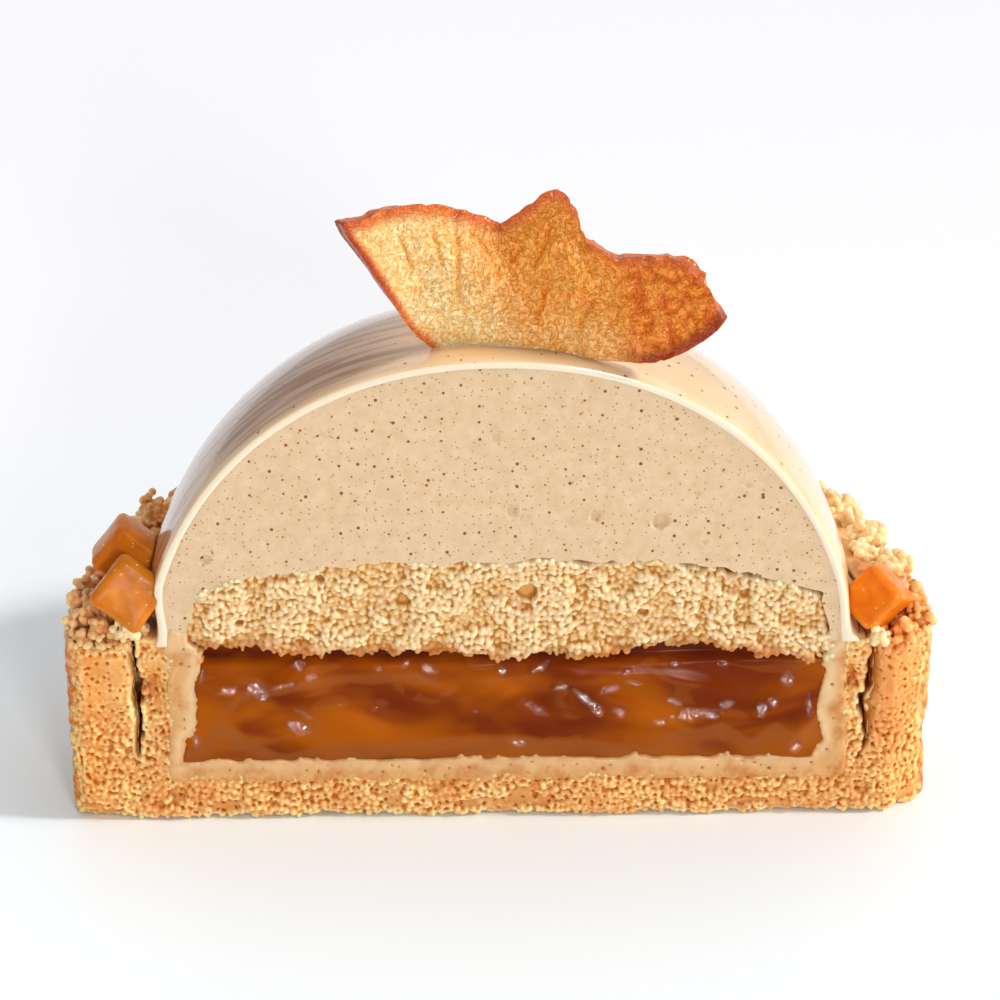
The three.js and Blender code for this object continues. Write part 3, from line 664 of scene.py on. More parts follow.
def along_lean(x, z, middle_x, middle_z, length, width, lean):
    """1 in the middle of a long patch that leans, falling away round it."""
    turn = math.radians(lean)
    along = (x - middle_x) * math.cos(turn) + (z - middle_z) * math.sin(turn)
    across = (z - middle_z) * math.cos(turn) - (x - middle_x) * math.sin(turn)
    return np.exp(-(along / length) ** 2 - (across / width) ** 2)


def caramel_body(x, y, z):
    """Distance outside the caramel behind its cut face."""
    ring = np.hypot(x - CAVITY_SHIFT, y) - LINING_RADIUS + LINING_WALL - 0.3
    ring = np.maximum(ring, np.maximum(CARAMEL_FOOT - 0.3 - z, z - CARAMEL_TOP - 0.3))
    return np.maximum(ring, CUT + CARAMEL_BACK - 0.4 - y)


soft_caramel = new_material("soft_caramel")
# Sugar cooked to amber with butter: wet, deep and partly clear, so its colour runs from dark
# brown through red amber to a clouded milky brown, under a sharp wet gloss. Just under the
# sponge's fringe it is darkened further with painted shade.
place = add(soft_caramel, "ShaderNodeTexCoord")
lobe = add(soft_caramel, "ShaderNodeAttribute", attribute_name="raised")
shaded = add(soft_caramel, "ShaderNodeAttribute", attribute_name="hollow")
stretch = add(soft_caramel, "ShaderNodeMapping", {
    "Vector": place.outputs["Object"], "Scale": (0.45, 1, 1.0), "Rotation": (0, 0.35, 0)})
stirred = add(soft_caramel, "ShaderNodeTexNoise", {
    "Vector": stretch.outputs[0], "Scale": 1 / (6 * MM), "Detail": 2, "Distortion": 0.7})
clouds = add(soft_caramel, "ShaderNodeTexNoise", {
    "Vector": stretch.outputs[0], "Scale": 1 / (3.4 * MM), "Detail": 1, "Distortion": 1.2})
amber_share = add(soft_caramel, "ShaderNodeMapRange", {
    "Value": stirred.outputs["Fac"], "From Min": 0.32, "From Max": 0.7}, interpolation_type="SMOOTHSTEP")
amber = add(soft_caramel, "ShaderNodeMix", {
    0: amber_share.outputs[0], 6: linear("#762800"), 7: linear("#B25800")}, data_type="RGBA")
cloud_share = add(soft_caramel, "ShaderNodeMapRange", {
    "Value": clouds.outputs["Fac"], "From Min": 0.56, "From Max": 0.62, "To Max": 0.3},
    interpolation_type="SMOOTHSTEP")
clouded = add(soft_caramel, "ShaderNodeMix", {
    0: cloud_share.outputs[0], 6: amber.outputs[2], 7: linear("#A85C24")}, data_type="RGBA")
crest = add(soft_caramel, "ShaderNodeMapRange", {
    "Value": lobe.outputs["Fac"], "To Max": 0.6})
crested = add(soft_caramel, "ShaderNodeMix", {
    0: crest.outputs[0], 6: clouded.outputs[2], 7: linear("#A05826")}, data_type="RGBA")
# Painted shade: darker red brown just under the sponge's fringe.
shadowed = add(soft_caramel, "ShaderNodeMix", {
    0: shaded.outputs["Fac"], 6: crested.outputs[2], 7: linear("#5A1800")}, data_type="RGBA")
crinkle_mark = add(soft_caramel, "ShaderNodeAttribute", attribute_name="crinkled")
crinkles = add(soft_caramel, "ShaderNodeTexNoise", {
    "Vector": place.outputs["Object"], "Scale": 1 / (0.36 * MM), "Detail": 1, "Distortion": 0.8})
crinkle_height = add(soft_caramel, "ShaderNodeMath", {
    0: crinkles.outputs["Fac"], 1: crinkle_mark.outputs["Fac"]}, operation="MULTIPLY")
skin = add(soft_caramel, "ShaderNodeBump", {
    "Height": crinkle_height.outputs[0], "Distance": 0.09 * MM})
wetness = add(soft_caramel, "ShaderNodeMapRange", {
    "Value": crinkle_mark.outputs["Fac"], "To Min": 0.12, "To Max": 1})
smoothness = add(soft_caramel, "ShaderNodeMapRange", {
    "Value": crinkle_mark.outputs["Fac"], "To Min": 0.22, "To Max": 0.03})
finish = add(soft_caramel, "ShaderNodeBsdfPrincipled", {
    "Base Color": shadowed.outputs[2], "Roughness": 0.3, "IOR": 1.48, "Subsurface Weight": 0.2,
    "Subsurface Radius": (1.0, 0.35, 0.05), "Subsurface Scale": 1.0 * MM,
    "Coat Weight": wetness.outputs[0], "Coat Roughness": smoothness.outputs[0], "Coat IOR": 1.55,
    "Coat Normal": skin.outputs[0], "Specular IOR Level": 0.0})
add(soft_caramel, "ShaderNodeOutputMaterial", {"Surface": finish.outputs[0]})

x, z = face_grid((-32.4, LINING_BED - 1.6), (33.6, CARAMEL_TOP + 1.6), CARAMEL_STEP)
relief = 0.2 * uneven(x, 1, z, 5, 71) + 0.05 * uneven(x, 1, z, 2.2, 72)
folds = sum(height * along_lean(x, z, *fold) for *fold, height in CARAMEL_FOLDS)
depth = 0.3 - relief - CARAMEL_BULGE * folds
sunk = ease(z, CARAMEL_TOP - 1.1, CARAMEL_TOP + 0.3)
depth += 0.75 * sunk + 0.35 * ease(lining_reach(x, z), -0.1, 0.4)
crinkled = np.zeros(x.shape)
for patch in CARAMEL_CRINKLES:
    torn = ease(along_lean(x, z, *patch) + 0.3 * uneven(x, 5, z, 0.7, 78), 0.3, 0.5)
    part, away = near_samples(x, z, patch[:2], 0.5)
    middle_depth = depth[part][away < 0.3].mean()
    tilted = middle_depth + WINDOW_UP * (z - patch[1]) + WINDOW_RIGHT * (x - patch[0])
    tilted += 0.02 * uneven(x, 1, z, 0.8, 74)
    depth = depth * (1 - torn) + tilted * torn
    crinkled = np.maximum(crinkled, torn)
wavy = z + 0.3 * uneven(x, 1, z, 2.5, 77)
below = blurred(np.interp(x[:, 0], *CLOUDED_TOP), 6)[:, None] - wavy
layer = ease(below, -0.25, 0.3) * (1 - 0.7 * ease(below, 1, 3))
ribbon_off = wavy - blurred(np.interp(x[:, 0], *CLOUDED_RIBBON), 6)[:, None]
ribbon = np.exp(-(ribbon_off / 0.6) ** 4) * ease(x, -28, -27) * ease(-x, 5, 9)
crests = np.maximum(layer, ribbon)
# The hollow mark is painted shade just under the sponge's fringe.
marks = {
    "raised": crests, "hollow": np.clip(sunk + 0.5 * sunk * uneven(x, 1, z, 1.5, 76), 0, 1),
    "crinkled": crinkled,
}
face_piece("caramel_cut_face", depth, x, z, CARAMEL_BACK, marks, soft_caramel,
           ["caramel_apple"])
hidden_part("caramel_and_apple", caramel_body, (-33, CUT, CARAMEL_FOOT - 1), (34, 33, CARAMEL_TOP + 1),
            soft_caramel, ["caramel_apple"])


# ---- Sponge disc ----
# A disc of whisked sponge laid on the caramel. The knife tore its crumb into pale beads and
# tufts over yellow hollows, and its underside has soaked up caramel and turned orange.
SPONGE_RADIUS = 32.5
SPONGE_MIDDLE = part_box("sponge")[1].z / MM
SPONGE_EDGE = 24.5
CRUMB = 0.52  # from one bead of crumb to the next
CRUMB_SIZES = (0.2, 0.4)
SPONGE_BACK = 2.3
# Its upper and lower edges on the cut: places across, and heights.
SPONGE_OVER = (
    [-31.6, -28.3, -24.7, -20.5, -16.3, -12, -1.9, 2.7, 9.9, 17, 21.7, 26.5, 30.1, 33],
    [24.3, 26.4, 27.4, 28.3, 28.9, 29.2, 28.8, 29, 28.6, 28.4, 27.4, 26.6, 25.5, 23.7])
SPONGE_UNDER = (
    [-32, -30.7, -22.8, -15.2, -6.8, 1.6, 9.5, 18.3, 24.4, 29.1, 31.6, 33.5],
    [19.6, 19.2, 18.9, 18.4, 18.5, 17.8, 17.9, 19.1, 18.3, 17.7, 16.8, 17])
# Its larger holes: [x, z, radius].
SPONGE_HOLES = [
    (2.6, 25.2, 1.0), (-9.5, 24.3, 0.7), (14, 22.8, 0.6), (-17.6, 26.8, 0.5), (24, 24.6, 0.55),
    (-25.6, 22, 0.5),
]


def sponge_top(x, y):
    """Height of its upper side, which falls towards the edge."""
    share = np.hypot(x - CAVITY_SHIFT, y) / SPONGE_RADIUS
    return SPONGE_MIDDLE - (SPONGE_MIDDLE - SPONGE_EDGE) * np.minimum(share, 1.1) ** 4


def sponge_side(z):
    """Radius of the sponge, which draws in towards the top of its edge."""
    return SPONGE_RADIUS - 1.1 * ease(z, 20.5, 25) + 0.2 * uneven(0, 0, z, 1.1, 98)


def in_sponge(x, z, spare):
    """Where the cut runs through sponge, with edges that the knife left ragged."""
    over = np.interp(x, *SPONGE_OVER) + 0.35 * uneven(x, 8, 0, 1.3, 99)
    under = np.interp(x, *SPONGE_UNDER) + 0.45 * uneven(x, 8, 0, 1.7, 82) + 0.3 * uneven(x, 9, 0, 0.8, 83)
    torn_side = 0.55 * uneven(x, 7, z, 0.9, 97)
    wide = np.abs(x - CAVITY_SHIFT) < sponge_side(z) + torn_side - spare
    return (z < over - spare) & (z > under + spare) & wide


def sponge_tufts(x, z):
    """1 on the torn tufts that stand out, and 0 on the flat golden crumb between them."""
    bent_x = x + 0.8 * uneven(x, 1, z, 1.6, 84)
    return ease(uneven(bent_x, 2, z, 2.0, 85) + 0.35 * uneven(x, 3, z, 0.9, 86), -0.35, 0.3)


def sponge_body(x, y, z):
    """Distance outside the sponge behind its cut face."""
    disc = np.maximum(np.hypot(x - CAVITY_SHIFT, y) - sponge_side(z), z - sponge_top(x, y))
    return np.maximum(np.maximum(disc, CARAMEL_TOP + 0.2 - z), CUT + SPONGE_BACK - 0.4 - y)


whisked_sponge = new_material("whisked_sponge")
# Baked egg sponge: soft, matt and light yellow, and orange brown along the bottom where it drank
# the caramel. Painted light makes the torn tufts nearly white, and painted shade makes the holes
# golden and the grooves between the beads darker.
raised_mark = add(whisked_sponge, "ShaderNodeAttribute", attribute_name="raised")
hollow = add(whisked_sponge, "ShaderNodeAttribute", attribute_name="hollow")
soak = add(whisked_sponge, "ShaderNodeAttribute", attribute_name="soaked")
# Painted light and shade: golden deeper in the holes, nearly white on the raised tufts, darker in the
# grooves.
crumb = add(whisked_sponge, "ShaderNodeMix", {
    0: hollow.outputs["Fac"], 6: linear("#F4CF98"), 7: linear("#E6B05C")}, data_type="RGBA")
crest = add(whisked_sponge, "ShaderNodeMapRange", {
    "Value": raised_mark.outputs["Fac"], "From Min": 0.5, "From Max": 0.85, "To Max": 0.75})
crests = add(whisked_sponge, "ShaderNodeMix", {
    0: crest.outputs[0], 6: crumb.outputs[2], 7: linear("#FCE4BE")}, data_type="RGBA")
groove_shade = add(whisked_sponge, "ShaderNodeMapRange", {
    "Value": raised_mark.outputs["Fac"], "From Min": 0.4, "From Max": 0.1, "To Max": 0.9})
shaded_grooves = add(whisked_sponge, "ShaderNodeMix", {
    0: groove_shade.outputs[0], 6: crests.outputs[2], 7: linear("#CC8622")}, data_type="RGBA")
wet = add(whisked_sponge, "ShaderNodeMix", {
    0: soak.outputs["Fac"], 6: shaded_grooves.outputs[2], 7: linear("#C8780E")}, data_type="RGBA")
gloss = add(whisked_sponge, "ShaderNodeMapRange", {
    "Value": soak.outputs["Fac"], "To Min": 0.32, "To Max": 0.2})
finish = add(whisked_sponge, "ShaderNodeBsdfPrincipled", {
    "Base Color": wet.outputs[2], "Roughness": gloss.outputs[0], "IOR": 1.42,
    "Subsurface Weight": 0.8, "Subsurface Radius": (1.0, 0.7, 0.25), "Subsurface Scale": 0.8 * MM})
add(whisked_sponge, "ShaderNodeOutputMaterial", {"Surface": finish.outputs[0]})

x, z = face_grid((-33.2, CARAMEL_TOP - 2.4), (34.8, SPONGE_MIDDLE + 1.2), GRAIN)
tufts = sponge_tufts(x, z)
crumb_floor = 0.42 + 0.6 * (1 - tufts) + 0.1 * uneven(x, 2, z, 0.7, 87)
depth = np.where(in_sponge(x, z, 0.25), crumb_floor, SPONGE_BACK)
middles, radii = bead_bed((-33, CARAMEL_TOP - 2.2), (34.6, SPONGE_MIDDLE + 1), CRUMB, CRUMB_SIZES, 88)
bead_x, bead_z = middles[:, 0], middles[:, 2]
bare = 1 - sponge_tufts(bead_x, bead_z)
middles[:, 1] = radii + (middles[:, 1] - radii) * 0.5 + 0.7 * bare + 0.1 * uneven(bead_x, 5, bead_z, 0.5, 89)
middles[:, 1] -= 0.3 * ease(bead_z, np.interp(bead_x, *SPONGE_OVER) - 0.8, np.interp(bead_x, *SPONGE_OVER))
wanted = in_sponge(bead_x, bead_z, 0.1)
set_beads(depth, x, z, middles[wanted], radii[wanted])
for hole_x, hole_z, radius in SPONGE_HOLES:
    part, away = near_samples(x, z, (hole_x, hole_z), radius * 1.3)
    ragged = away + 0.25 * uneven(x[part], 7, z[part], 0.6, 90)
    depth[part] = np.where((ragged < radius) & (depth[part] < 1.4), 1.4, depth[part])
depth, raised = melted(depth, SPONGE_BACK)
above = z - np.interp(x, *SPONGE_UNDER) + 0.7 * uneven(x, 4, z, 1.6, 92)
# Painted shade: the hollow mark turns the crumb golden the deeper it lies, and the raised mark makes tufts
# paler and grooves darker.
marks = {
    "raised": raised, "hollow": np.clip((depth - 0.25) / 1.1, 0, 1),
    "soaked": 0.9 * (1 - ease(above, 0, 1.7)),
}
face_piece("sponge_cut_face", depth, x, z, SPONGE_BACK, marks, whisked_sponge, ["sponge"])
hidden_part("sponge_disc", sponge_body, (-33, CUT, CARAMEL_TOP - 1), (35, 34, SPONGE_MIDDLE + 1),
            whisked_sponge, ["sponge"])


# ---- Cinnamon mousse ----
# Whipped mousse with ground cinnamon and vanilla seed, set in a half-sphere mould and cut with
# a warm knife: smooth and close, with a few air bubbles opened by the knife.
DOME_RADIUS = 35.7  # outside of the glaze
DOME_HEIGHT = 34.5
DOME_CENTRE = 16.15
DOME_ROUND, DOME_CROWN = 2.2, 2.05  # powers that square its profile slightly
DOME_SLOPE = 2.1  # near the surface, dome_field grows by this over one radius
DOME_TUCK = 0.5  # it draws in at the foot
DOME_TUCK_HEIGHT = 7
DOME_TUCK_LEFT = 1.1  # and more so on the left
DOME_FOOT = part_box("glaze")[0].z / MM
GLAZE_THICK = 0.75
MOUSSE_BACK, HOLLOW_BACK = 34.3, 32.4  # how far back it runs, and its hollow for the sponge
MOUSSE_COLUMNS = 380  # samples along its arch
# Air bubbles opened by the knife: [x, z, radius].
BUBBLES = [
    (-0.4, 42.2, 0.45), (1.2, 34.4, 0.6), (9.3, 33.7, 0.6), (15.6, 33.1, 0.85), (24.0, 37.0, 0.4),
    (19.1, 36.1, 0.35), (-28.7, 29.4, 0.55), (19.9, 30.9, 0.35), (9.5, 30.9, 0.3), (9.2, 40.4, 0.25),
    (-16.4, 43.0, 0.3), (-17.7, 40.6, 0.25),
]


def dome_field(x, y, z, inset):
    """Below 0 inside the dome, drawn in by inset from the outside of its glaze."""
    tuck = DOME_TUCK + DOME_TUCK_LEFT * np.clip(-x / DOME_RADIUS, 0, 1)
    tuck = tuck * (1 - ease(z, DOME_FOOT, DOME_FOOT + DOME_TUCK_HEIGHT))
    across = (np.hypot(x, y) + tuck) / (DOME_RADIUS - inset)
    up = np.maximum(z - DOME_CENTRE, 0) / (DOME_HEIGHT - inset)
    return across ** DOME_ROUND + up ** DOME_CROWN - 1


def dome_distance(x, y, z, inset):
    """Distance outside the dome, in millimetres near its surface."""
    return dome_field(x, y, z, inset) * DOME_RADIUS / DOME_SLOPE


def sponge_crown_field(x, y, z):
    """Below 0 inside the sponge, where the mousse is hollow for it."""
    around = np.hypot(x - CAVITY_SHIFT, y)
    ragged = (0.3 * uneven(x, 0, 0, 1.1, 95) + 0.25 * uneven(x, 0, 0, 3, 94)) * ease(-y, -CUT - 1, -CUT)
    return np.maximum(around - sponge_side(z), z - sponge_top(x, y) - ragged)


def reach_of(field, turn, back):
    """Distance from the foot of the plane y = back to a solid's surface, at each angle."""
    near, far = np.zeros(np.broadcast(turn, back).shape), np.full(np.broadcast(turn, back).shape, 60.0)
    for _ in range(34):
        middle = (near + far) / 2
        inside = field(middle * np.cos(turn), back, DOME_FOOT + middle * np.sin(turn)) < 0
        near, far = np.where(inside, middle, near), np.where(inside, far, middle)
    return near


def arch(field, turns, backs):
    """A surface over the dome's foot, as one row of points for each plane y = back."""
    turn, back = np.meshgrid(turns, backs)
    reach = reach_of(field, turn, back)
    return np.stack([reach * np.cos(turn), back, DOME_FOOT + reach * np.sin(turn)], -1)


def quads_of(rows, columns, first=0, flip=False):
    """Faces of a grid of points."""
    i, j = np.meshgrid(np.arange(rows - 1), np.arange(columns - 1), indexing="ij")
    a = first + (i * columns + j).ravel()
    faces = np.stack([a, a + 1, a + columns + 1, a + columns], 1)
    return faces[:, ::-1] if flip else faces


def band(above, below):
    """Faces between two rows of points."""
    return np.stack([below[:-1], below[1:], above[1:], above[:-1]], 1)


def foot_strips(rows, columns):
    """Faces that join the two surfaces of an arch along its two feet."""
    for column in (0, columns - 1):
        out = np.arange(rows) * columns + column
        strip = band(out + rows * columns, out)
        yield strip if column else strip[:, ::-1]


def planes_to(back, rows):
    """Planes from the cut to the back of the dome, closer together towards the back."""
    return CUT + (back - CUT) * np.sin(np.linspace(0, math.pi / 2, rows))


turns = np.linspace(0, math.pi, MOUSSE_COLUMNS)
outer_rows = 10
outside_planes, ceiling_planes = planes_to(MOUSSE_BACK, outer_rows), planes_to(HOLLOW_BACK, outer_rows)
outside = arch(lambda x, y, z: dome_field(x, y, z, GLAZE_THICK), turns, outside_planes)
ceiling = arch(sponge_crown_field, turns, ceiling_planes)
layers = 56
share = np.linspace(0, 1, layers)[:, None, None]
face = ceiling[0] * (1 - share) + outside[0] * share
x, z = face[..., 0], face[..., 2]
inner_part = np.sin(share[..., 0] * math.pi) ** 0.3
face[..., 1] += inner_part * (0.05 * uneven(x, 0, z, 5, 96) + 0.025 * uneven(x, 0, z, 1.1, 97))
for bubble_x, bubble_z, radius in BUBBLES:
    away = np.hypot(x - bubble_x, z - bubble_z)
    face[..., 1] += np.sqrt(np.maximum(radius ** 2 - away ** 2, 0)) * 0.8
    face[..., 1] -= 0.07 * np.exp(-((away - radius) / 0.2) ** 2)
columns = len(turns)
count = outer_rows * columns
points = np.concatenate([outside.reshape(-1, 3), ceiling.reshape(-1, 3), face[1:-1].reshape(-1, 3)])
faces = [quads_of(outer_rows, columns), quads_of(outer_rows, columns, count, flip=True)]
face_rows = [np.arange(columns) + count]
face_rows += [2 * count + columns * i + np.arange(columns) for i in range(layers - 2)]
face_rows.append(np.arange(columns))
for below, above in zip(face_rows, face_rows[1:]):
    faces.append(band(above, below))
faces += foot_strips(outer_rows, columns)

cinnamon_mousse = new_material("cinnamon_mousse")
# Set cream whipped with air: pale pinkish beige, smooth and softly see-through, flecked all
# through with cinnamon, in a few larger flakes and very many fine grains.
place = add(cinnamon_mousse, "ShaderNodeTexCoord")
upright = add(cinnamon_mousse, "ShaderNodeMapping", {
    "Vector": place.outputs["Object"], "Rotation": (math.pi / 2, 0, 0)})  # lays the cut face flat
flakes = add(cinnamon_mousse, "ShaderNodeTexVoronoi", {
    "Vector": upright.outputs[0], "Scale": 1 / (1.7 * MM)}, voronoi_dimensions="2D")
flake_colour = add(cinnamon_mousse, "ShaderNodeSeparateColor", {"Color": flakes.outputs["Color"]})
flake_size = add(cinnamon_mousse, "ShaderNodeMapRange", {
    "Value": flake_colour.outputs[0], "From Min": 0.3, "From Max": 1, "To Min": 0.03, "To Max": 0.105})
flake = add(cinnamon_mousse, "ShaderNodeMath", {
    0: flakes.outputs["Distance"], 1: flake_size.outputs[0]}, operation="LESS_THAN")
grains = add(cinnamon_mousse, "ShaderNodeTexVoronoi", {
    "Vector": upright.outputs[0], "Scale": 1 / (0.8 * MM)}, voronoi_dimensions="2D")
grain_colour = add(cinnamon_mousse, "ShaderNodeSeparateColor", {"Color": grains.outputs["Color"]})
grain_size = add(cinnamon_mousse, "ShaderNodeMapRange", {
    "Value": grain_colour.outputs[0], "From Min": 0.3, "From Max": 1, "To Min": 0.04, "To Max": 0.14})
grain = add(cinnamon_mousse, "ShaderNodeMath", {
    0: grains.outputs["Distance"], 1: grain_size.outputs[0]}, operation="LESS_THAN")
mottle = add(cinnamon_mousse, "ShaderNodeTexNoise", {
    "Vector": place.outputs["Object"], "Scale": 1 / (1.2 * MM), "Detail": 5, "Roughness": 0.6})
cream_share = add(cinnamon_mousse, "ShaderNodeMapRange", {
    "Value": mottle.outputs["Fac"], "From Min": 0.3, "From Max": 0.7})
cream = add(cinnamon_mousse, "ShaderNodeMix", {
    0: cream_share.outputs[0], 6: linear("#E0BE93"), 7: linear("#EACDA6")}, data_type="RGBA")
dusted = add(cinnamon_mousse, "ShaderNodeMix", {
    0: grain.outputs[0], 6: cream.outputs[2], 7: linear("#C39262")}, data_type="RGBA")
flecked = add(cinnamon_mousse, "ShaderNodeMix", {
    0: flake.outputs[0], 6: dusted.outputs[2], 7: linear("#9A4A1C")}, data_type="RGBA")
dimpled = add(cinnamon_mousse, "ShaderNodeBump", {
    "Height": mottle.outputs["Fac"], "Strength": 0.3, "Distance": 0.12 * MM})
finish = add(cinnamon_mousse, "ShaderNodeBsdfPrincipled", {
    "Base Color": flecked.outputs[2], "Normal": dimpled.outputs[0], "Roughness": 0.4, "IOR": 1.42,
    "Subsurface Weight": 0.3, "Subsurface Radius": (1.0, 0.7, 0.45), "Subsurface Scale": 1.0 * MM})
add(cinnamon_mousse, "ShaderNodeOutputMaterial", {"Surface": finish.outputs[0]})
mousse = mesh_piece(
    "mousse_dome", points, [np.concatenate(faces)], {}, cinnamon_mousse, ["cinnamon_mousse"])
mousse.data.set_sharp_from_angle(angle=math.radians(50))


# ---- Mirror glaze ----
# A warm gelatine and caramel glaze poured over the frozen dome. It set as a thin glassy skin
# that pools a little at the foot. The knife left its edge rounded, and a painted highlight runs
# along it as a bright cream line.
FLARE = 1.3  # how far the pooled glaze spreads at the right foot
FLARE_HEIGHT = 0.9
GLAZE_BACK, GLAZE_INNER_BACK = 36.2, 34.2  # how far back its outer and inner surface run
GLAZE_COLUMNS = 260


def glaze_field(x, y, z):
    """The outside of the glaze, with its pooled foot."""
    side = np.clip(x / DOME_RADIUS, -1, 1)
    spread = FLARE * (0.68 + 0.32 * side) * (1 + 0.3 * uneven(x, y, 0, 5, 101))
    flare = spread * np.exp(-np.maximum(z - DOME_FOOT, 0) / FLARE_HEIGHT)
    shrink = np.maximum(1 - flare / np.maximum(np.hypot(x, y), 1), 0.5)
    ripple = 0.04 * uneven(x, y, z, 9, 102)
    return dome_field(x * shrink, y * shrink, z, ripple)


turns = np.linspace(0, math.pi, GLAZE_COLUMNS)
rows = 50
outside = arch(glaze_field, turns, planes_to(GLAZE_BACK, rows))
inner_planes = planes_to(GLAZE_INNER_BACK, rows)
inside = arch(lambda x, y, z: dome_field(x, y, z, GLAZE_THICK + 0.05), turns, inner_planes)
lip = [outside[0]]
for step in (0.15, 0.5, 0.85):
    edge = outside[0] * (1 - step) + inside[0] * step
    edge[:, 1] = CUT - 0.15 * math.sin(step * math.pi) ** 0.5
    lip.append(edge)
lip.append(inside[0])
columns, count = len(turns), rows * len(turns)
middle_lip = np.concatenate(lip[1:-1])
points = np.concatenate([outside.reshape(-1, 3), inside.reshape(-1, 3), middle_lip])
faces = [quads_of(rows, columns), quads_of(rows, columns, count, flip=True)]
lip_rows = [np.arange(columns)] + [2 * count + columns * i + np.arange(columns) for i in range(3)]
lip_rows.append(count + np.arange(columns))
for above, below in zip(lip_rows, lip_rows[1:]):
    faces.append(band(above, below))
faces += foot_strips(rows, columns)

mirror_glaze = new_material("mirror_glaze")
# Gelatine glaze: a glass-smooth wet gloss over a milky caramel skin, with specks of cinnamon
# under it. Its left side is greyed with painted shade and a painted reflection, and faint streaks
# where it ran down as it was poured are painted only into that shade.
place = add(mirror_glaze, "ShaderNodeTexCoord")
specks = add(mirror_glaze, "ShaderNodeTexVoronoi", {
    "Vector": place.outputs["Object"], "Scale": 1 / (1.1 * MM)})
speck_colour = add(mirror_glaze, "ShaderNodeSeparateColor", {"Color": specks.outputs["Color"]})
speck_size = add(mirror_glaze, "ShaderNodeMapRange", {
    "Value": speck_colour.outputs[0], "From Min": 0.3, "From Max": 1, "To Min": 0.05, "To Max": 0.2})
speck = add(mirror_glaze, "ShaderNodeMath", {
    0: specks.outputs["Distance"], 1: speck_size.outputs[0]}, operation="LESS_THAN")
cloudy = add(mirror_glaze, "ShaderNodeTexNoise", {
    "Vector": place.outputs["Object"], "Scale": 1 / (6 * MM), "Detail": 3})
skin = add(mirror_glaze, "ShaderNodeMix", {
    0: cloudy.outputs["Fac"], 6: linear("#EDC48E"), 7: linear("#F6DAB0")}, data_type="RGBA")
run_down = add(mirror_glaze, "ShaderNodeMapping", {
    "Vector": place.outputs["Object"], "Scale": (0.07, 1, 0.07)})  # streaks follow the dome's arch
streaks = add(mirror_glaze, "ShaderNodeTexNoise", {
    "Vector": run_down.outputs[0], "Scale": 1 / (0.9 * MM), "Detail": 3})
streak_share = add(mirror_glaze, "ShaderNodeMapRange", {
    "Value": streaks.outputs["Fac"], "From Min": 0.48, "From Max": 0.6, "To Max": 0.9})
left_shade_share = add(mirror_glaze, "ShaderNodeAttribute", attribute_name="shaded")
lip_highlight_share = add(mirror_glaze, "ShaderNodeAttribute", attribute_name="lip")
streaked_left = add(mirror_glaze, "ShaderNodeMath", {
    0: streak_share.outputs[0], 1: left_shade_share.outputs["Fac"]}, operation="MULTIPLY")
# Painted shade and reflection down the left side, with its streaks.
shaded_side = add(mirror_glaze, "ShaderNodeMix", {
    0: left_shade_share.outputs["Fac"], 6: skin.outputs[2], 7: linear("#CCA688")}, data_type="RGBA")
streaked = add(mirror_glaze, "ShaderNodeMix", {
    0: streaked_left.outputs[0], 6: shaded_side.outputs[2], 7: linear("#A06C38")}, data_type="RGBA")
speckled = add(mirror_glaze, "ShaderNodeMix", {
    0: speck.outputs[0], 6: streaked.outputs[2], 7: linear("#A0602C")}, data_type="RGBA")
# Painted highlight: a bright cream line along the cut edge.
lip_highlighted = add(mirror_glaze, "ShaderNodeMix", {
    0: lip_highlight_share.outputs["Fac"], 6: speckled.outputs[2], 7: linear("#FBE6C8")}, data_type="RGBA")
finish = add(mirror_glaze, "ShaderNodeBsdfPrincipled", {
    "Base Color": lip_highlighted.outputs[2], "Roughness": 0.3, "IOR": 1.45, "Subsurface Weight": 0.3,
    "Subsurface Radius": (1.0, 0.7, 0.4), "Subsurface Scale": 0.5 * MM, "Coat Weight": 1.0,
    "Coat Roughness": 0.02, "Coat IOR": 1.5})
add(mirror_glaze, "ShaderNodeOutputMaterial", {"Surface": finish.outputs[0]})
# shaded: painted shade and reflection on the left side, behind the lip.
behind = ease(points[:, 1], CUT + 0.3, CUT + 2) * ease(-points[:, 1], -15, -6)
# lip: painted highlight on the cut edge of the glaze.
marks = {"shaded": ease(-points[:, 0], 4, 16) * behind, "lip": np.arange(len(points)) >= 2 * count}
glaze = mesh_piece("glaze_skin", points, [np.concatenate(faces)], marks, mirror_glaze, ["glaze"])
glaze.data.set_sharp_from_angle(angle=math.radians(60))


# ---- Caramelised apple cubes ----
# Diced apple cooked in caramel until it is see-through and its corners round off. The cubes
# lie on the rim against the dome, sticky and bright, with caramel caught on their edges.
CUBE = 6.5
# Degrees round from the right-hand end of the cut, radius, height, turns in degrees and size.
CUBES = [
    (-5.2, 37.4, 23.1, (-121, 27, 49), 0.79),
    (52, 38, 24.2, (12, 30, 15), 0.92),
    (65, 37.8, 23.8, (35, -12, 40), 1),
    (97, 38, 24, (8, 24, 70), 0.94),
    (128, 37.8, 24, (-22, 16, 25), 0.9),
    (177.5, 36.8, 26.2, (-97, -3, 38), 0.82),
    (186.5, 36.6, 24.6, (-112, -9, 38), 0.9),
]
CUBE_GRID = 22  # squares along each edge of a cube's faces
CUBE_ROUNDING = 0.75


def cube_draw(seed):
    """A repeatable number from 0 to 1."""
    turned = math.sin(seed * 12.9898 + 4.1414) * 43758.5453
    return turned - math.floor(turned)


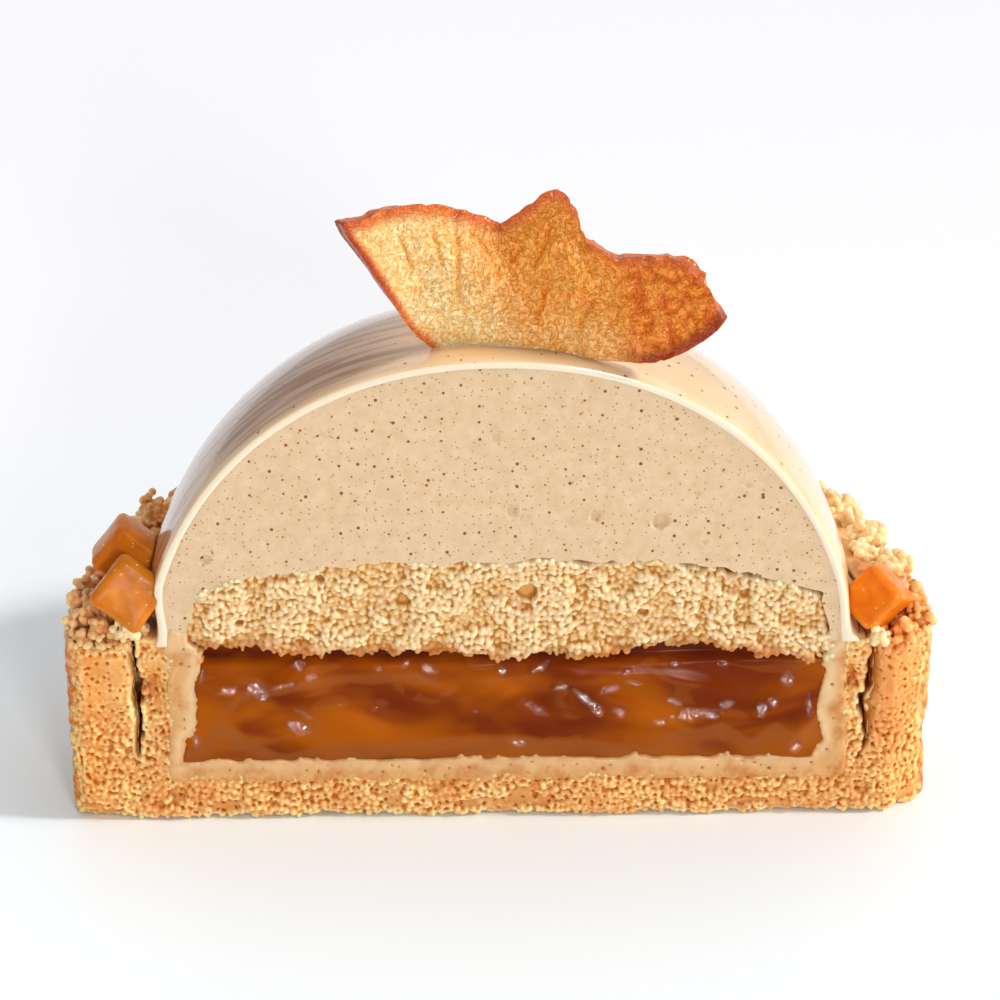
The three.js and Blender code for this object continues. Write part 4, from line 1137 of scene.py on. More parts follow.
def cube_skin():
    """Points and faces of a cube from -1 to 1, divided finely and closed at its edges."""
    line = np.linspace(-1, 1, CUBE_GRID + 1)
    a, b = [side.ravel() for side in np.meshgrid(line, line, indexing="ij")]
    points, faces = [], []
    for axis in range(3):
        for end in (-1, 1):
            side = np.zeros((len(a), 3))
            side[:, axis], side[:, (axis + 1) % 3], side[:, (axis + 2) % 3] = end, a, b
            faces.append(quads_of(CUBE_GRID + 1, CUBE_GRID + 1, len(a) * len(points), flip=end > 0))
            points.append(side)
    points, faces = np.concatenate(points), np.concatenate(faces)
    rounded = np.round(points * 1000).astype(int)
    _, first, same = np.unique(rounded, axis=0, return_index=True, return_inverse=True)
    return points[first], same.ravel()[faces]


glazed_apple = new_material("glazed_apple")
# Apple flesh soaked in caramel: clear amber with lighter fibres inside, under a sticky gloss,
# with a few tiny pale dots painted on as glints.
place = add(glazed_apple, "ShaderNodeTexCoord")
ripe = add(glazed_apple, "ShaderNodeAttribute", attribute_name="depth_of_colour")
fibre = add(glazed_apple, "ShaderNodeTexNoise", {
    "Vector": place.outputs["Object"], "Scale": 1 / (1.6 * MM), "Detail": 5, "Distortion": 0.2})
fibre_share = add(glazed_apple, "ShaderNodeMapRange", {
    "Value": fibre.outputs["Fac"], "From Min": 0.2, "From Max": 0.8})
light = add(glazed_apple, "ShaderNodeMix", {
    0: fibre_share.outputs[0], 6: linear("#A85A00"), 7: linear("#CE8414")}, data_type="RGBA")
dark = add(glazed_apple, "ShaderNodeMix", {
    0: fibre_share.outputs[0], 6: linear("#E06600"), 7: linear("#FF9012")}, data_type="RGBA")
flesh = add(glazed_apple, "ShaderNodeMix", {
    0: ripe.outputs["Fac"], 6: light.outputs[2], 7: dark.outputs[2]}, data_type="RGBA")
# Painted glints: tiny pale dots in a thin band of the fibre pattern.
glint_cells = add(glazed_apple, "ShaderNodeTexVoronoi", {
    "Vector": place.outputs["Object"], "Scale": 1 / (0.7 * MM)})
glint_dot = add(glazed_apple, "ShaderNodeMath", {
    0: glint_cells.outputs["Distance"], 1: 0.13}, operation="LESS_THAN")
glint_band = add(glazed_apple, "ShaderNodeMapRange", {
    "Value": fibre.outputs["Fac"], "From Min": 0.5, "From Max": 0.54})
painted_glint = add(glazed_apple, "ShaderNodeMath", {
    0: glint_dot.outputs[0], 1: glint_band.outputs[0]}, operation="MULTIPLY")
glinted = add(glazed_apple, "ShaderNodeMix", {
    0: painted_glint.outputs[0], 6: flesh.outputs[2], 7: linear("#FFE2B4")}, data_type="RGBA")
sticky = add(glazed_apple, "ShaderNodeTexNoise", {
    "Vector": place.outputs["Object"], "Scale": 1 / (0.55 * MM), "Detail": 2})
syrup = add(glazed_apple, "ShaderNodeBump", {
    "Height": sticky.outputs["Fac"], "Distance": 0.16 * MM})
finish = add(glazed_apple, "ShaderNodeBsdfPrincipled", {
    "Base Color": glinted.outputs[2], "Roughness": 0.35, "IOR": 1.45, "Specular IOR Level": 0.15,
    "Subsurface Weight": 0.4, "Subsurface Radius": (1.0, 0.4, 0.06), "Subsurface Scale": 1.4 * MM,
    "Coat Weight": 0.3, "Coat IOR": 1.4, "Coat Roughness": 0.03, "Coat Normal": syrup.outputs[0]})
add(glazed_apple, "ShaderNodeOutputMaterial", {"Surface": finish.outputs[0]})

skin_points, skin_faces = cube_skin()
for i, (angle, radius, height, turn, size) in enumerate(CUBES):
    edge = CUBE * size
    half = np.array([0.95 + 0.1 * cube_draw(i), 1, 0.92 + 0.1 * cube_draw(i + 40)]) * edge / 2
    flat = np.clip(skin_points * half, CUBE_ROUNDING - half, half - CUBE_ROUNDING)
    outward = skin_points * half - flat
    outward /= np.linalg.norm(outward, axis=1)[:, None]
    points = flat + outward * CUBE_ROUNDING
    bumps = 0.16 * uneven(*points.T, 2.6, 110 + i) + 0.06 * uneven(*points.T, 1.0, 120 + i)
    points += outward * bumps[:, None]
    points[:, 0] += points[:, 2] * (cube_draw(i + 80) - 0.5) * 0.2
    about = [Matrix.Rotation(math.radians(t), 3, axis) for t, axis in zip(turn, "XYZ")]
    points = points @ np.array(about[0] @ about[1] @ about[2]).T
    round_dome = math.radians(angle)
    points += [radius * math.cos(round_dome), radius * math.sin(round_dome), height]
    for _ in range(12):
        sunk = np.maximum(-dome_distance(*points.T, -0.05), 0)
        sunk = np.where(points[:, 1] < CUT, 0, sunk)
        away = points[:, :2] / np.hypot(points[:, 0], points[:, 1])[:, None]
        points[:, :2] += away * sunk[:, None]
    points[:, 2] = np.maximum(points[:, 2], SHELL_HEIGHT + 0.25)
    name = f"glazed_apple_{i + 1}"
    marks = {"depth_of_colour": np.full(len(points), 1.0 if i == 0 else 0.15 + 0.3 * cube_draw(i))}
    mesh_piece(name, points, [skin_faces], marks, glazed_apple, [f"apple_cube_{i + 1:02d}"])


# ---- Baked crumble ----
# Butter, sugar and flour rubbed to crumbs and baked loose, then heaped on the rim round the
# dome: lumps of melted-together beads, orange where syrup reached them and pale where not.
CRUMBLE_STEP = 0.26
CRUMBLE_FLOOR = SHELL_HEIGHT + 0.05
CRUMBLE_RADIUS = 43.6  # no bead of the ring reaches further out
BANK_RADIUS, BANK_HALF = 39.2, 2.4  # the bank of fine crumb that the lumps lie on
# Lumps that show beside the cut: middle [x, y, z] and radius.
SHOWN_LUMPS = [
    (35.8, 18, 22, 1.9), (38, 12, 22.2, 2), (39.8, 6, 21.8, 1.9), (41.1, -0.6, 21.5, 1.7),
    (41.6, -3.4, 20.8, 1.5), (39.8, -4.4, 20.6, 0.9), (38.8, 2.6, 21.2, 1.3), (-35.3, 17, 23.4, 1.8),
    (-37.6, 11.5, 22, 1.7), (-41.3, 4, 21.3, 1.6), (-42.2, -2, 20.5, 1.2), (-39.6, -4.6, 20.9, 1.3),
    (-40.6, 0.6, 20.9, 1.5), (-37.4, 7.6, 22.6, 1.4), (-42.2, 1.6, 20.6, 1.2), (-41.4, -4.6, 20.2, 0.8),
    (-38.2, -1.6, 21.1, 1.3), (-37.8, -5.3, 20.5, 0.7), (-40.9, -2.4, 21, 1.3), (-35.2, -4.6, 20.6, 0.8),
    (-40, 7.5, 21.4, 1.5), (40.4, -5, 20.4, 0.8), (41.9, -1.8, 20.3, 1), (37.2, 8.4, 22.4, 1.4),
]
LUMP_STEP = 0.13
# Rows of lumps round the back of the rim: radius, spread, height, size and count.
RING_ROWS = [(41.2, 1, 0.7, 1.5, 30), (38.6, 1.4, 1.7, 1.7, 24), (40, 3, 2.3, 1.1, 22)]
DRY_LUMPS = [(-36.5, -6.0, 21.6, 1.45), (37.2, -6.1, 20.2, 1.2)]


def lump_beads(lumps, seed, bead=(0.36, 0.62)):
    """Beads packed over the surface of each lump."""
    draws = np.random.default_rng(seed)
    middles, radii = [], []
    for x, y, z, size in lumps:
        count = int(11 * size ** 2)
        out = draws.normal(size=(count, 3))
        out /= np.linalg.norm(out, axis=1)[:, None]
        stretch = draws.uniform(0.8, 1.15, 3)
        middles.append(np.array([x, y, z]) + out * stretch * size * draws.uniform(0.65, 0.95, (count, 1)))
        radii.append(draws.uniform(*bead, count))
        middles.append([[x, y, z]])
        radii.append([0.62 * size])
    return np.concatenate(middles), np.concatenate(radii)


def ring_lumps():
    """Lumps of the rows round the back: middle [x, y, z] and radius."""
    draws = np.random.default_rng(131)
    lumps = []
    for radius, spread, height, size, count in RING_ROWS:
        for i in range(count):
            angle = math.radians(24 + 132 * (i + draws.uniform()) / count)
            out = radius + spread * draws.uniform(-0.5, 0.5)
            up = CRUMBLE_FLOOR + height + draws.uniform(-0.2, 0.6)
            lumps.append((out * math.cos(angle), out * math.sin(angle), up, size * draws.uniform(0.7, 1.25)))
    return lumps


def crumble_field(x, y, z):
    """Distance outside the bank of fine crumb that the lumps lie on."""
    around = np.hypot(x, y)
    back = ease(y, -4, 8)
    top = CRUMBLE_FLOOR + 0.3 + (0.5 + 0.4 * uneven(x, y, 0, 2.5, 132)) * (0.3 + 1.2 * back)
    bank = np.maximum(np.abs(around - BANK_RADIUS) - BANK_HALF - 0.3 * uneven(x, y, z, 2, 133), z - top)
    return np.maximum(bank, 0.5 + uneven(x, 0, 0, 2, 136) - y)


baked_crumble = new_material("baked_crumble")
# Baked butter crumble: golden beads with a faint sugary sheen, more orange where apple syrup has
# run, nearly cream on the driest crumbs. Painted shade makes the sides of the beads more orange
# and the gaps between them darker, and painted light makes the crumbs on the right paler, where
# the sun lamp falls.
raised_mark = add(baked_crumble, "ShaderNodeAttribute", attribute_name="raised")
dry_and_sunlit = add(baked_crumble, "ShaderNodeAttribute", attribute_name="dry_and_sunlit")
place = add(baked_crumble, "ShaderNodeTexCoord")
patches = add(baked_crumble, "ShaderNodeTexNoise", {
    "Vector": place.outputs["Object"], "Scale": 1 / (3 * MM), "Detail": 3})
grain = add(baked_crumble, "ShaderNodeTexNoise", {
    "Vector": place.outputs["Object"], "Scale": 1 / (0.25 * MM), "Detail": 3})
# Painted shade: the sides of the beads more orange and the gaps darker.
shaded_side_share = add(baked_crumble, "ShaderNodeMapRange", {
    "Value": raised_mark.outputs["Fac"], "From Min": 0.75, "From Max": 0.4},
    interpolation_type="SMOOTHSTEP")
syrup_share = add(baked_crumble, "ShaderNodeMapRange", {
    "Value": patches.outputs["Fac"], "From Min": 0.42, "From Max": 0.62})
beads_colour = add(baked_crumble, "ShaderNodeMix", {
    0: syrup_share.outputs[0], 6: linear("#FDCF88"), 7: linear("#F2A24E")}, data_type="RGBA")
tops = add(baked_crumble, "ShaderNodeMix", {
    0: shaded_side_share.outputs[0], 6: beads_colour.outputs[2], 7: linear("#E08A30")}, data_type="RGBA")
deep = add(baked_crumble, "ShaderNodeMapRange", {
    "Value": raised_mark.outputs["Fac"], "From Min": 0.35, "From Max": 0.0})
shaded_gaps = add(baked_crumble, "ShaderNodeMix", {
    0: deep.outputs[0], 6: tops.outputs[2], 7: linear("#B0560E")}, data_type="RGBA")
# Dry crumbs are nearly cream, and the same mark paints light on the crumbs on the right.
dried_and_sunlit = add(baked_crumble, "ShaderNodeMix", {
    0: dry_and_sunlit.outputs["Fac"], 6: shaded_gaps.outputs[2], 7: linear("#FFE2AC")}, data_type="RGBA")
roughened = add(baked_crumble, "ShaderNodeBump", {
    "Height": grain.outputs["Fac"], "Strength": 0.3, "Distance": 0.06 * MM})
finish = add(baked_crumble, "ShaderNodeBsdfPrincipled", {
    "Base Color": dried_and_sunlit.outputs[2], "Normal": roughened.outputs[0], "Roughness": 0.28, "IOR": 1.45,
    "Subsurface Weight": 0.3, "Subsurface Radius": (1.0, 0.5, 0.2), "Subsurface Scale": 0.8 * MM})
add(baked_crumble, "ShaderNodeOutputMaterial", {"Surface": finish.outputs[0]})

low = np.array([-44.2, CUT - 1.6, CRUMBLE_FLOOR - 0.5])
x, y, z = lattice(low, (44.2, 43.6, CRUMBLE_FLOOR + 5.6), CRUMBLE_STEP)
field = np.broadcast_to(crumble_field(x, y, z), (x.size, y.size, z.size)).astype(np.float32)
middles, radii = lump_beads(ring_lumps() + SHOWN_LUMPS[:3], 134)
keep = np.hypot(middles[:, 0], middles[:, 1]) + radii < CRUMBLE_RADIUS
keep &= middles[:, 2] > CRUMBLE_FLOOR
field = join_beads(field, low, CRUMBLE_STEP, middles[keep], radii[keep], 0.07)
for angle, radius, height, turn, size in CUBES:
    about = math.radians(angle)
    middle = np.array([radius * math.cos(about), radius * math.sin(about), height])
    part, away = around_place(field.shape, low, CRUMBLE_STEP, middle, CUBE * size * 0.6)
    field[part] = np.maximum(field[part], CUBE * size * 0.55 - away)
field = np.maximum(field, -dome_distance(x, y, z, -0.1))
field = np.maximum(field, CRUMBLE_FLOOR - z).astype(np.float32)
points, faces, raised = surface_of(field, low, CRUMBLE_STEP)
# Painted light: the ring is paler towards the right, where the sun lamp falls.
marks = {"raised": raised, "dry_and_sunlit": 0.5 * ease(points[:, 0], 24, 34)}
mesh_piece("crumble_ring", points, faces, marks, baked_crumble, ["crumble"])

near_left = [lump for lump in SHOWN_LUMPS if lump[0] < 0]
near_right = [lump for lump in SHOWN_LUMPS if lump[0] > 0]
for name, lumps, dryness, sizes in (
    ("lumps_left", near_left, 0.3, (0.24, 0.46)), ("lumps_right", near_right, 0, (0.32, 0.54)),
    ("dry_crumb_left", DRY_LUMPS[:1], 0.9, (0.28, 0.44)),
    ("dry_crumb_right", DRY_LUMPS[1:], 0.9, (0.28, 0.44)),
):
    middles, radii = lump_beads(lumps, 135, sizes)
    if name.startswith("lumps"):
        side = math.copysign(1, lumps[0][0])
        grains = scattered((36.6, CUT + 0.3, SHELL_HEIGHT - 0.15), (42.6, 4, SHELL_HEIGHT), 0.62, 137)
        grains = grains * [side, 1, 1]
        grains = grains[np.hypot(grains[:, 0], grains[:, 1]) < SHELL_RADIUS - 0.4]
        middles = np.concatenate([middles, grains])
        radii = np.concatenate([radii, np.random.default_rng(138).uniform(0.26, 0.46, len(grains))])
    middles[:, 2] = np.maximum(middles[:, 2], CRUMBLE_FLOOR + radii * 0.6)
    low = middles.min(0) - 1.2
    x, y, z = lattice(low, middles.max(0) + 1.2, LUMP_STEP)
    field = np.full((x.size, y.size, z.size), 1.0, np.float32)
    field = join_beads(field, low, LUMP_STEP, middles, radii, 0.035)
    points, faces, raised = surface_of(field, low, LUMP_STEP, 0.05)
    # Painted light: lumps at the right and back are paler, where the sun lamp falls.
    sunlit_pale = 0.9 * ease(points[:, 0], 24, 34) * ease(points[:, 1], 3, 8)
    marks = {"raised": raised, "dry_and_sunlit": np.minimum(dryness + sunlit_pale, 1)}
    mesh_piece(name, points, faces, marks, baked_crumble, ["crumble"])


# ---- Dried apple slice ----
# A thin slice of apple with its peel on, dried in a low oven until it buckled. The flesh shrank
# to fine wrinkles and cells, its upper edge crisped into a scalloped orange rim, and the peel
# darkened and thickened along the lower right edge. It is pushed a little into the glaze.
SLICE_THICK = 0.9
SLICE_TOP = [
    (-15.3, -7.4, 65), (-11.1, -5, 65.3), (-8.2, -3.8, 65.2), (-5.8, -2.6, 64.5), (-3.5, -1.7, 63.5),
    (-1.2, -1, 62.3), (0.3, -0.8, 61.7), (1.8, -1.1, 62.9), (3.9, -1.6, 65), (5.5, -1.9, 66.1),
    (6.5, -2.2, 64.9), (7.4, -2.7, 62.7), (9, -3.2, 61), (11.6, -3.5, 59.9), (14.5, -4.2, 60.1),
    (16.7, -5, 60.4), (18.1, -5.8, 59.9), (19.1, -6.2, 58.8),
]
SLICE_BOTTOM = [
    (-6.5, -2.2, 50.6), (-2.8, -2.5, 50.8), (0.1, -3.2, 50.8), (2.9, -3.6, 50.7), (5.8, -3.9, 50.4),
    (8.2, -4.3, 50), (10.5, -4.9, 49.7), (13.9, -5.2, 49.9), (17.3, -6.2, 51.3), (20, -7, 53.4),
    (21.4, -7.4, 55),
]
SLICE_LEFT = [
    (-6.5, -2.2, 50.6), (-8.9, -4.2, 53.5), (-10.8, -5.6, 57), (-12.8, -6.6, 60.7), (-14.5, -7.2, 63.4),
    (-15.3, -7.4, 65),
]
SLICE_RIGHT = [(21.4, -7.4, 55), (20.5, -7, 56.4), (19.1, -6.2, 58.8)]
CREASE_TOP, CREASE_BOTTOM, CREASE_WIDTH, CREASE_DEPTH = 0.74, 0.6, 0.07, 0.8
SLICE_ACROSS, SLICE_UP = 310, 110
# Longer creases drawn down from its upper edge: upper and lower end, each [x, z].
SLICE_CREASES = [
    ((-4.3, 62.3), (-3.8, 55.6)), ((-2.9, 61.8), (-0.8, 59.4)), ((-9.5, 62.5), (-8.4, 59)),
    ((-6.6, 63), (-5.6, 59.8)), ((2.3, 60.6), (0.8, 58.6)), ((5, 63), (3.4, 58.8)),
    ((4.6, 57), (3.6, 53.4)), ((9, 56), (7.4, 52.6)),
]


def winding(x, z, size, seed):
    """Thin winding ridges like those of wrinkled leather, 1 along their crests."""
    return np.clip(1 - 2.2 * np.abs(uneven(x, 3, z, size, seed)), 0, 1)


def curve_at(points, share):
    """Places along a smooth curve through given points."""
    points = np.array(points, float)
    padded = np.concatenate([[2 * points[0] - points[1]], points, [2 * points[-1] - points[-2]]])
    place = np.clip(share, 0, 1) * (len(points) - 1)
    part = np.minimum(place.astype(int), len(points) - 2)
    t = (place - part)[..., None]
    a, b, c, d = (padded[part + i] for i in range(4))
    bend, twist = 2 * a - 5 * b + 4 * c - d, 3 * b - a - 3 * c + d
    return 0.5 * (2 * b + (c - a) * t + bend * t ** 2 + twist * t ** 3)


# Shares along and up the slice, and the same laid over x, y and z.
along, up = np.meshgrid(np.linspace(0, 1, SLICE_ACROSS), np.linspace(0, 1, SLICE_UP), indexing="ij")
along_xyz, up_xyz = along[..., None], up[..., None]
top, bottom = curve_at(SLICE_TOP, along), curve_at(SLICE_BOTTOM, along)
top[..., 2] += 0.2 * uneven(top[..., 0], 0, 0, 0.75, 151)
left, right = curve_at(SLICE_LEFT, up), curve_at(SLICE_RIGHT, up)
corners = [np.array(p, float) for p in (SLICE_BOTTOM[0], SLICE_BOTTOM[-1], SLICE_TOP[0], SLICE_TOP[-1])]
sheet = bottom * (1 - up_xyz) + top * up_xyz + left * (1 - along_xyz) + right * along_xyz
sheet -= (corners[0] * (1 - along_xyz) * (1 - up_xyz) + corners[1] * along_xyz * (1 - up_xyz)
          + corners[2] * (1 - along_xyz) * up_xyz + corners[3] * along_xyz * up_xyz)
inside_slice = np.sin(math.pi * up)
crease = (along - (CREASE_BOTTOM + (CREASE_TOP - CREASE_BOTTOM) * up)) / CREASE_WIDTH
sheet[..., 1] += CREASE_DEPTH * inside_slice * np.exp(-crease ** 2)
sheet[..., 1] += 0.4 * inside_slice * uneven(sheet[..., 0], 0, sheet[..., 2], 4, 141)
x, z = sheet[..., 0].copy(), sheet[..., 2].copy()
across = np.gradient(sheet, axis=0)
upward = np.gradient(sheet, axis=1)
forward = np.cross(across, upward)
forward /= np.linalg.norm(forward, axis=2)[..., None]
forward *= -np.sign(forward[..., 1:2])  # towards the cut
from_top = np.linalg.norm(sheet - top, axis=2)
from_left = np.linalg.norm(sheet - left, axis=2)
from_bottom = np.linalg.norm(sheet - bottom, axis=2)
from_right = np.linalg.norm(sheet - right, axis=2)
pebbled = ease(along, CREASE_BOTTOM - 0.02, CREASE_TOP + 0.02) * ease(crease, 0, 1)
bent_x, bent_z = x + 0.5 * uneven(x, 1, z, 1.4, 142), z + 0.5 * uneven(x, 2, z, 1.4, 145)
near, _ = cells(bent_x, bent_z, 1.1, 143)
wrinkles = 0.65 * winding(1.15 * bent_x, 0.85 * bent_z, 0.44, 146) + 0.35 * winding(bent_x, bent_z, 0.3, 147)
pebbles = np.clip(1.1 - 2.2 * near ** 2, 0, 1) * (0.75 + 0.25 * wrinkles)
drawn = np.zeros(x.shape)
for (top_x, top_z), (foot_x, foot_z) in SLICE_CREASES:
    share = np.clip((z - foot_z) / (top_z - foot_z), 0, 1)
    line = foot_x + (top_x - foot_x) * share + 0.25 * uneven(0, 1, z, 1.2, 150)
    fading = ease(z, foot_z - 0.8, foot_z + 0.8) * ease(-z, -top_z - 0.8, -top_z + 0.8)
    drawn += np.exp(-((x - line) / 0.22) ** 2) * fading
buckled = 0.14 * uneven(x, 3, z, 1.7, 148) - 0.3 * drawn
relief = buckled + (1 - pebbled) * 0.2 * wrinkles + pebbled * (0.42 * pebbles + 0.05 * wrinkles)
rim_top = np.exp(-(from_top / 1.2) ** 4)
rim_left = np.exp(-(from_left / 0.95) ** 4)
peel = np.exp(-(from_bottom / 1.15) ** 4) * ease(along, 0.6, 0.74)
rim_right = np.exp(-(from_right / 0.6) ** 2)
rim = np.maximum(np.maximum(rim_top, rim_left), np.maximum(peel, rim_right))
scallops = 0.26 * uneven(x, 5, 0, 0.8, 149) * rim_top + 0.1 * uneven(x, 5, z, 0.5, 153) * rim
half = SLICE_THICK / 2 * (0.85 + 0.75 * rim) + scallops
sheet = sheet + forward * (0.35 * rim_top + 0.25 * peel)[..., None]
front = sheet + forward * (half + relief * (1 - 0.6 * rim))[..., None]
behind = sheet - forward * (half + 0.6 * relief)[..., None]
count = SLICE_ACROSS * SLICE_UP
points = np.concatenate([front.reshape(-1, 3), behind.reshape(-1, 3)])
faces = [quads_of(SLICE_ACROSS, SLICE_UP), quads_of(SLICE_ACROSS, SLICE_UP, count, flip=True)]
grid = np.arange(count).reshape(SLICE_ACROSS, SLICE_UP)
for line, flip in ((grid[0], False), (grid[-1], True), (grid[:, 0], True), (grid[:, -1], False)):
    strip = band(line + count, line)
    faces.append(strip[:, ::-1] if flip else strip)

dried_apple = new_material("dried_apple")
# Dried apple flesh: leathery and thin enough to let light through, with a toasted orange rim and
# dark red-brown peel. Painted light makes its left panel paler yellow, where the sun lamp falls,
# and the crests of its wrinkles lighter; painted shade makes its furrows and fine wrinkle lines
# orange. It is also paler along its lower part.
place = add(dried_apple, "ShaderNodeTexCoord")
toast = add(dried_apple, "ShaderNodeAttribute", attribute_name="toast")
peel_mark = add(dried_apple, "ShaderNodeAttribute", attribute_name="peel")
raised = add(dried_apple, "ShaderNodeAttribute", attribute_name="raised")
sunlit_share = add(dried_apple, "ShaderNodeAttribute", attribute_name="sunlit_pale")
coarse = add(dried_apple, "ShaderNodeAttribute", attribute_name="pebbled")
inner_crest = add(dried_apple, "ShaderNodeMix", {
    0: coarse.outputs["Fac"], 6: linear("#FFBA58"), 7: linear("#FF9E34")}, data_type="RGBA")
inner_furrow = add(dried_apple, "ShaderNodeMix", {
    0: coarse.outputs["Fac"], 6: linear("#EA8C20"), 7: linear("#E27010")}, data_type="RGBA")
# Painted light and shade: paler on the left panel where the sun lamp falls, lighter on crests, orange in
# furrows.
flesh = add(dried_apple, "ShaderNodeMix", {
    0: sunlit_share.outputs["Fac"], 6: inner_crest.outputs[2], 7: linear("#FFEEB8")}, data_type="RGBA")
furrow_shade_colour = add(dried_apple, "ShaderNodeMix", {
    0: sunlit_share.outputs["Fac"], 6: inner_furrow.outputs[2], 7: linear("#FBC470")}, data_type="RGBA")
lit_crest_shaded_furrow = add(dried_apple, "ShaderNodeMix", {
    0: raised.outputs["Fac"], 6: furrow_shade_colour.outputs[2], 7: flesh.outputs[2]}, data_type="RGBA")
worm = add(dried_apple, "ShaderNodeTexNoise", {
    "Vector": place.outputs["Object"], "Scale": 1 / (0.6 * MM), "Detail": 1, "Distortion": 0.5})
off_middle = add(dried_apple, "ShaderNodeMath", {0: worm.outputs["Fac"], 1: 0.5}, operation="SUBTRACT")
either_side = add(dried_apple, "ShaderNodeMath", {0: off_middle.outputs[0]}, operation="ABSOLUTE")
# Painted shade: fine wrinkle lines drawn in the furrow colour.
line = add(dried_apple, "ShaderNodeMapRange", {
    "Value": either_side.outputs[0], "From Min": 0.0, "From Max": 0.07})
line_shade_share = add(dried_apple, "ShaderNodeMapRange", {"Value": line.outputs[0], "To Min": 0.3, "To Max": 0})
line_shaded = add(dried_apple, "ShaderNodeMix", {
    0: line_shade_share.outputs[0], 6: lit_crest_shaded_furrow.outputs[2], 7: furrow_shade_colour.outputs[2]}, data_type="RGBA")
scorch = add(dried_apple, "ShaderNodeTexNoise", {
    "Vector": place.outputs["Object"], "Scale": 1 / (1.4 * MM), "Detail": 3})
rim_colour = add(dried_apple, "ShaderNodeMix", {
    0: scorch.outputs["Fac"], 6: linear("#F4863A"), 7: linear("#C04C18")}, data_type="RGBA")
toasted = add(dried_apple, "ShaderNodeMix", {
    0: toast.outputs["Fac"], 6: line_shaded.outputs[2], 7: rim_colour.outputs[2]}, data_type="RGBA")
peeled = add(dried_apple, "ShaderNodeMix", {
    0: peel_mark.outputs["Fac"], 6: toasted.outputs[2], 7: linear("#A83C0A")}, data_type="RGBA")
fine = add(dried_apple, "ShaderNodeBump", {
    "Height": line.outputs[0], "Distance": 0.12 * MM})
finish = add(dried_apple, "ShaderNodeBsdfPrincipled", {
    "Base Color": peeled.outputs[2], "Normal": fine.outputs[0], "Roughness": 0.28, "IOR": 1.45,
    "Subsurface Weight": 0.4, "Subsurface Radius": (1.0, 0.5, 0.15), "Subsurface Scale": 1.0 * MM})
add(dried_apple, "ShaderNodeOutputMaterial", {"Surface": finish.outputs[0]})

# Painted light and shade: crests lighter and furrows darker, and the left panel paler where the sun lamp
# falls.
height_mark = np.clip((1 - pebbled) * wrinkles + pebbled * pebbles - drawn, 0, 1)
sunlit_pale_mark = np.exp(-(along / 0.26) ** 4) * (0.9 + 0.1 * uneven(x, 6, z, 3, 152))
sunlit_pale_mark += 0.35 * np.exp(-((up - 0.1) / 0.2) ** 2) * (1 - pebbled)
toast_mark = np.clip(np.maximum(rim_top, np.maximum(rim_left, rim_right)), 0, 1)
dark_left = np.exp(-(from_left / 0.5) ** 4) * ease(up, 0.25, 0.5)
marks = {
    "toast": np.tile(toast_mark.ravel(), 2), "peel": np.tile(np.maximum(peel, dark_left).ravel(), 2),
    "raised": np.tile(height_mark.ravel(), 2), "sunlit_pale": np.tile(np.clip(sunlit_pale_mark, 0, 1).ravel(), 2),
    "pebbled": np.tile(pebbled.ravel(), 2),
}
mesh_piece("apple_slice", points, [np.concatenate(faces)], marks, dried_apple,
           ["dried_apple_slice"])


# ---- Table, light and camera ----
# The tart stands on a plain white table that runs back out of sight. A low sun lights it from
# the right, a wide pale sky fills the shadows from above and behind, and a small window in
# front makes the glints on the caramel and the glaze.
bpy.ops.mesh.primitive_plane_add(size=6)
table = bpy.context.object
table.name = "table"
table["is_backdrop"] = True
white_table = new_material("white_table")
# White lacquer with a faint sheen, a little cooler near the tart, which balances out the warm
# light that the tart throws on it, as in the photograph.
place = add(white_table, "ShaderNodeTexCoord")
from_tart = add(white_table, "ShaderNodeVectorMath", {0: place.outputs["Object"]}, operation="LENGTH")
near_tart = add(white_table, "ShaderNodeMapRange", {
    "Value": from_tart.outputs["Value"], "From Min": 120 * MM, "From Max": 40 * MM},
    interpolation_type="SMOOTHSTEP")
lacquer = add(white_table, "ShaderNodeMix", {
    0: near_tart.outputs[0], 6: linear("#FCFCFD"), 7: linear("#F5FDFF")}, data_type="RGBA")
finish = add(white_table, "ShaderNodeBsdfPrincipled", {
    "Base Color": lacquer.outputs[2], "Roughness": 0.35, "Specular IOR Level": 0.3})
add(white_table, "ShaderNodeOutputMaterial", {"Surface": finish.outputs[0]})
table.data.materials.append(white_table)

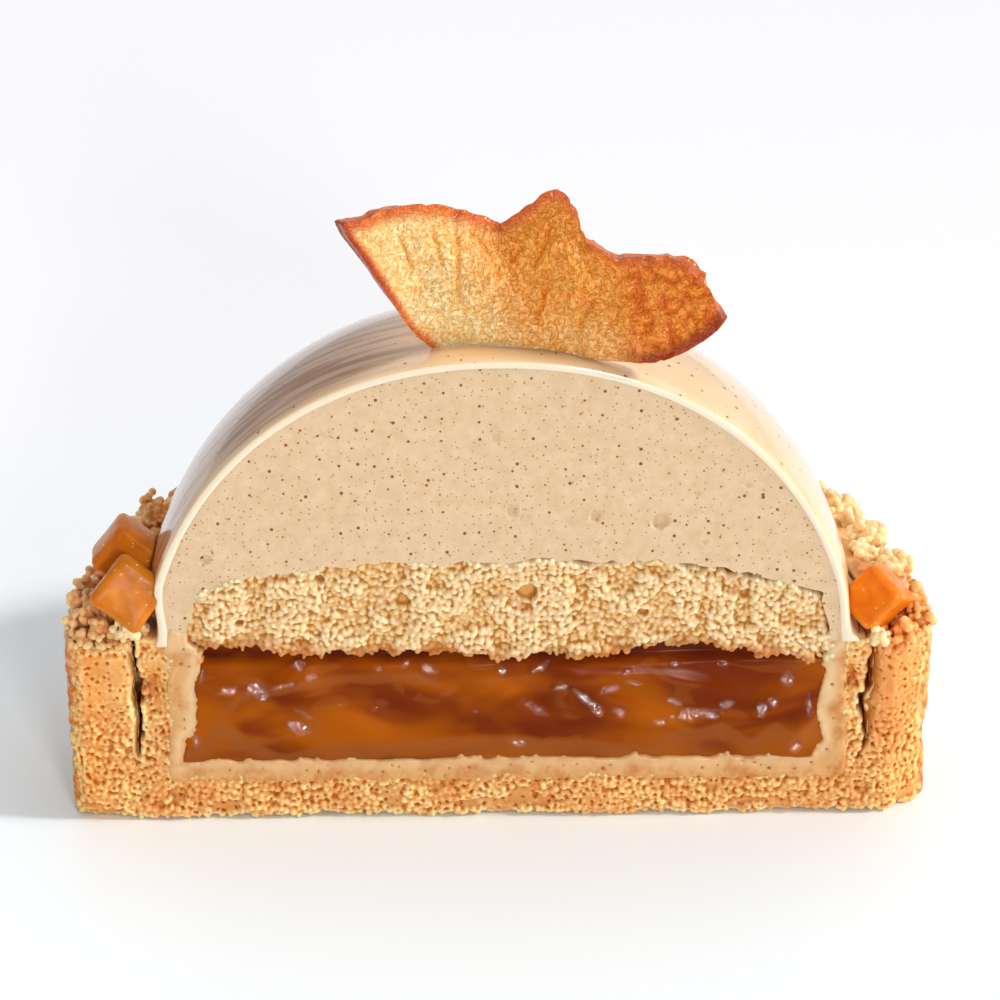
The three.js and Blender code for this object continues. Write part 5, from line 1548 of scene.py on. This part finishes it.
world = bpy.data.worlds.new("studio")
world.use_nodes = True
world.node_tree.nodes["Background"].inputs["Color"].default_value = linear("#F6F8FF")
world.node_tree.nodes["Background"].inputs["Strength"].default_value = 0.42
bpy.context.scene.world = world


def lamp(name, kind, place, aim, power, colour, **settings):
    """A lamp at a place, turned towards what it lights."""
    light = bpy.data.lights.new(name, kind)
    light.energy = power
    light.color = linear(colour)[:3]
    for setting, value in settings.items():
        setattr(light, setting, value)
    made = bpy.data.objects.new(name, light)
    made.location = place
    made.rotation_euler = (Vector(aim) - Vector(place)).to_track_quat("-Z", "Y").to_euler()
    bpy.context.scene.collection.objects.link(made)


middle = (0, 0, 0.025)
lamp("key", "SUN", (0.8, -0.07, 0.55), middle, 2.3, "#FFFDFB", angle=math.radians(10))
lamp("sky", "SUN", (0.1, 0.5, 1), middle, 0.7, "#FFFFFF", angle=math.radians(70))
lamp("window", "AREA", (0.22, -0.92, 0.36), middle, 3.3, "#FFFDFA", size=0.14)

CAMERA_ABOVE = math.radians(26)  # the photograph looks down on the tart this steeply
CAMERA_LEFT = math.radians(1)
CAMERA_AWAY = 400
AIM = Vector((0, CUT, 35.57))
PIXELS_PER_MM = 10.335  # in a photograph 1000 pixels wide
IMAGE_WIDTH = 1000
SENSOR_WIDTH = 36
forward = Vector((
    math.sin(CAMERA_LEFT) * math.cos(CAMERA_ABOVE), math.cos(CAMERA_LEFT) * math.cos(CAMERA_ABOVE),
    -math.sin(CAMERA_ABOVE)))
camera = bpy.data.objects.new("camera", bpy.data.cameras.new("camera"))
camera.data.sensor_width = SENSOR_WIDTH
camera.data.lens = SENSOR_WIDTH * PIXELS_PER_MM * CAMERA_AWAY / IMAGE_WIDTH
camera.data.clip_start = 0.01
camera.location = (AIM - forward * CAMERA_AWAY) * MM
camera.rotation_euler = forward.to_track_quat("-Z", "Y").to_euler()
bpy.context.scene.collection.objects.link(camera)
bpy.context.scene.camera = camera
bpy.context.scene.view_settings.view_transform = "Standard"
bpy.context.scene.view_settings.look = "None"

sizes = {
    "cad_box": [list(corner) for corner in cad_box],
    "visual_box": [list(corner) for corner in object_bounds()],
}
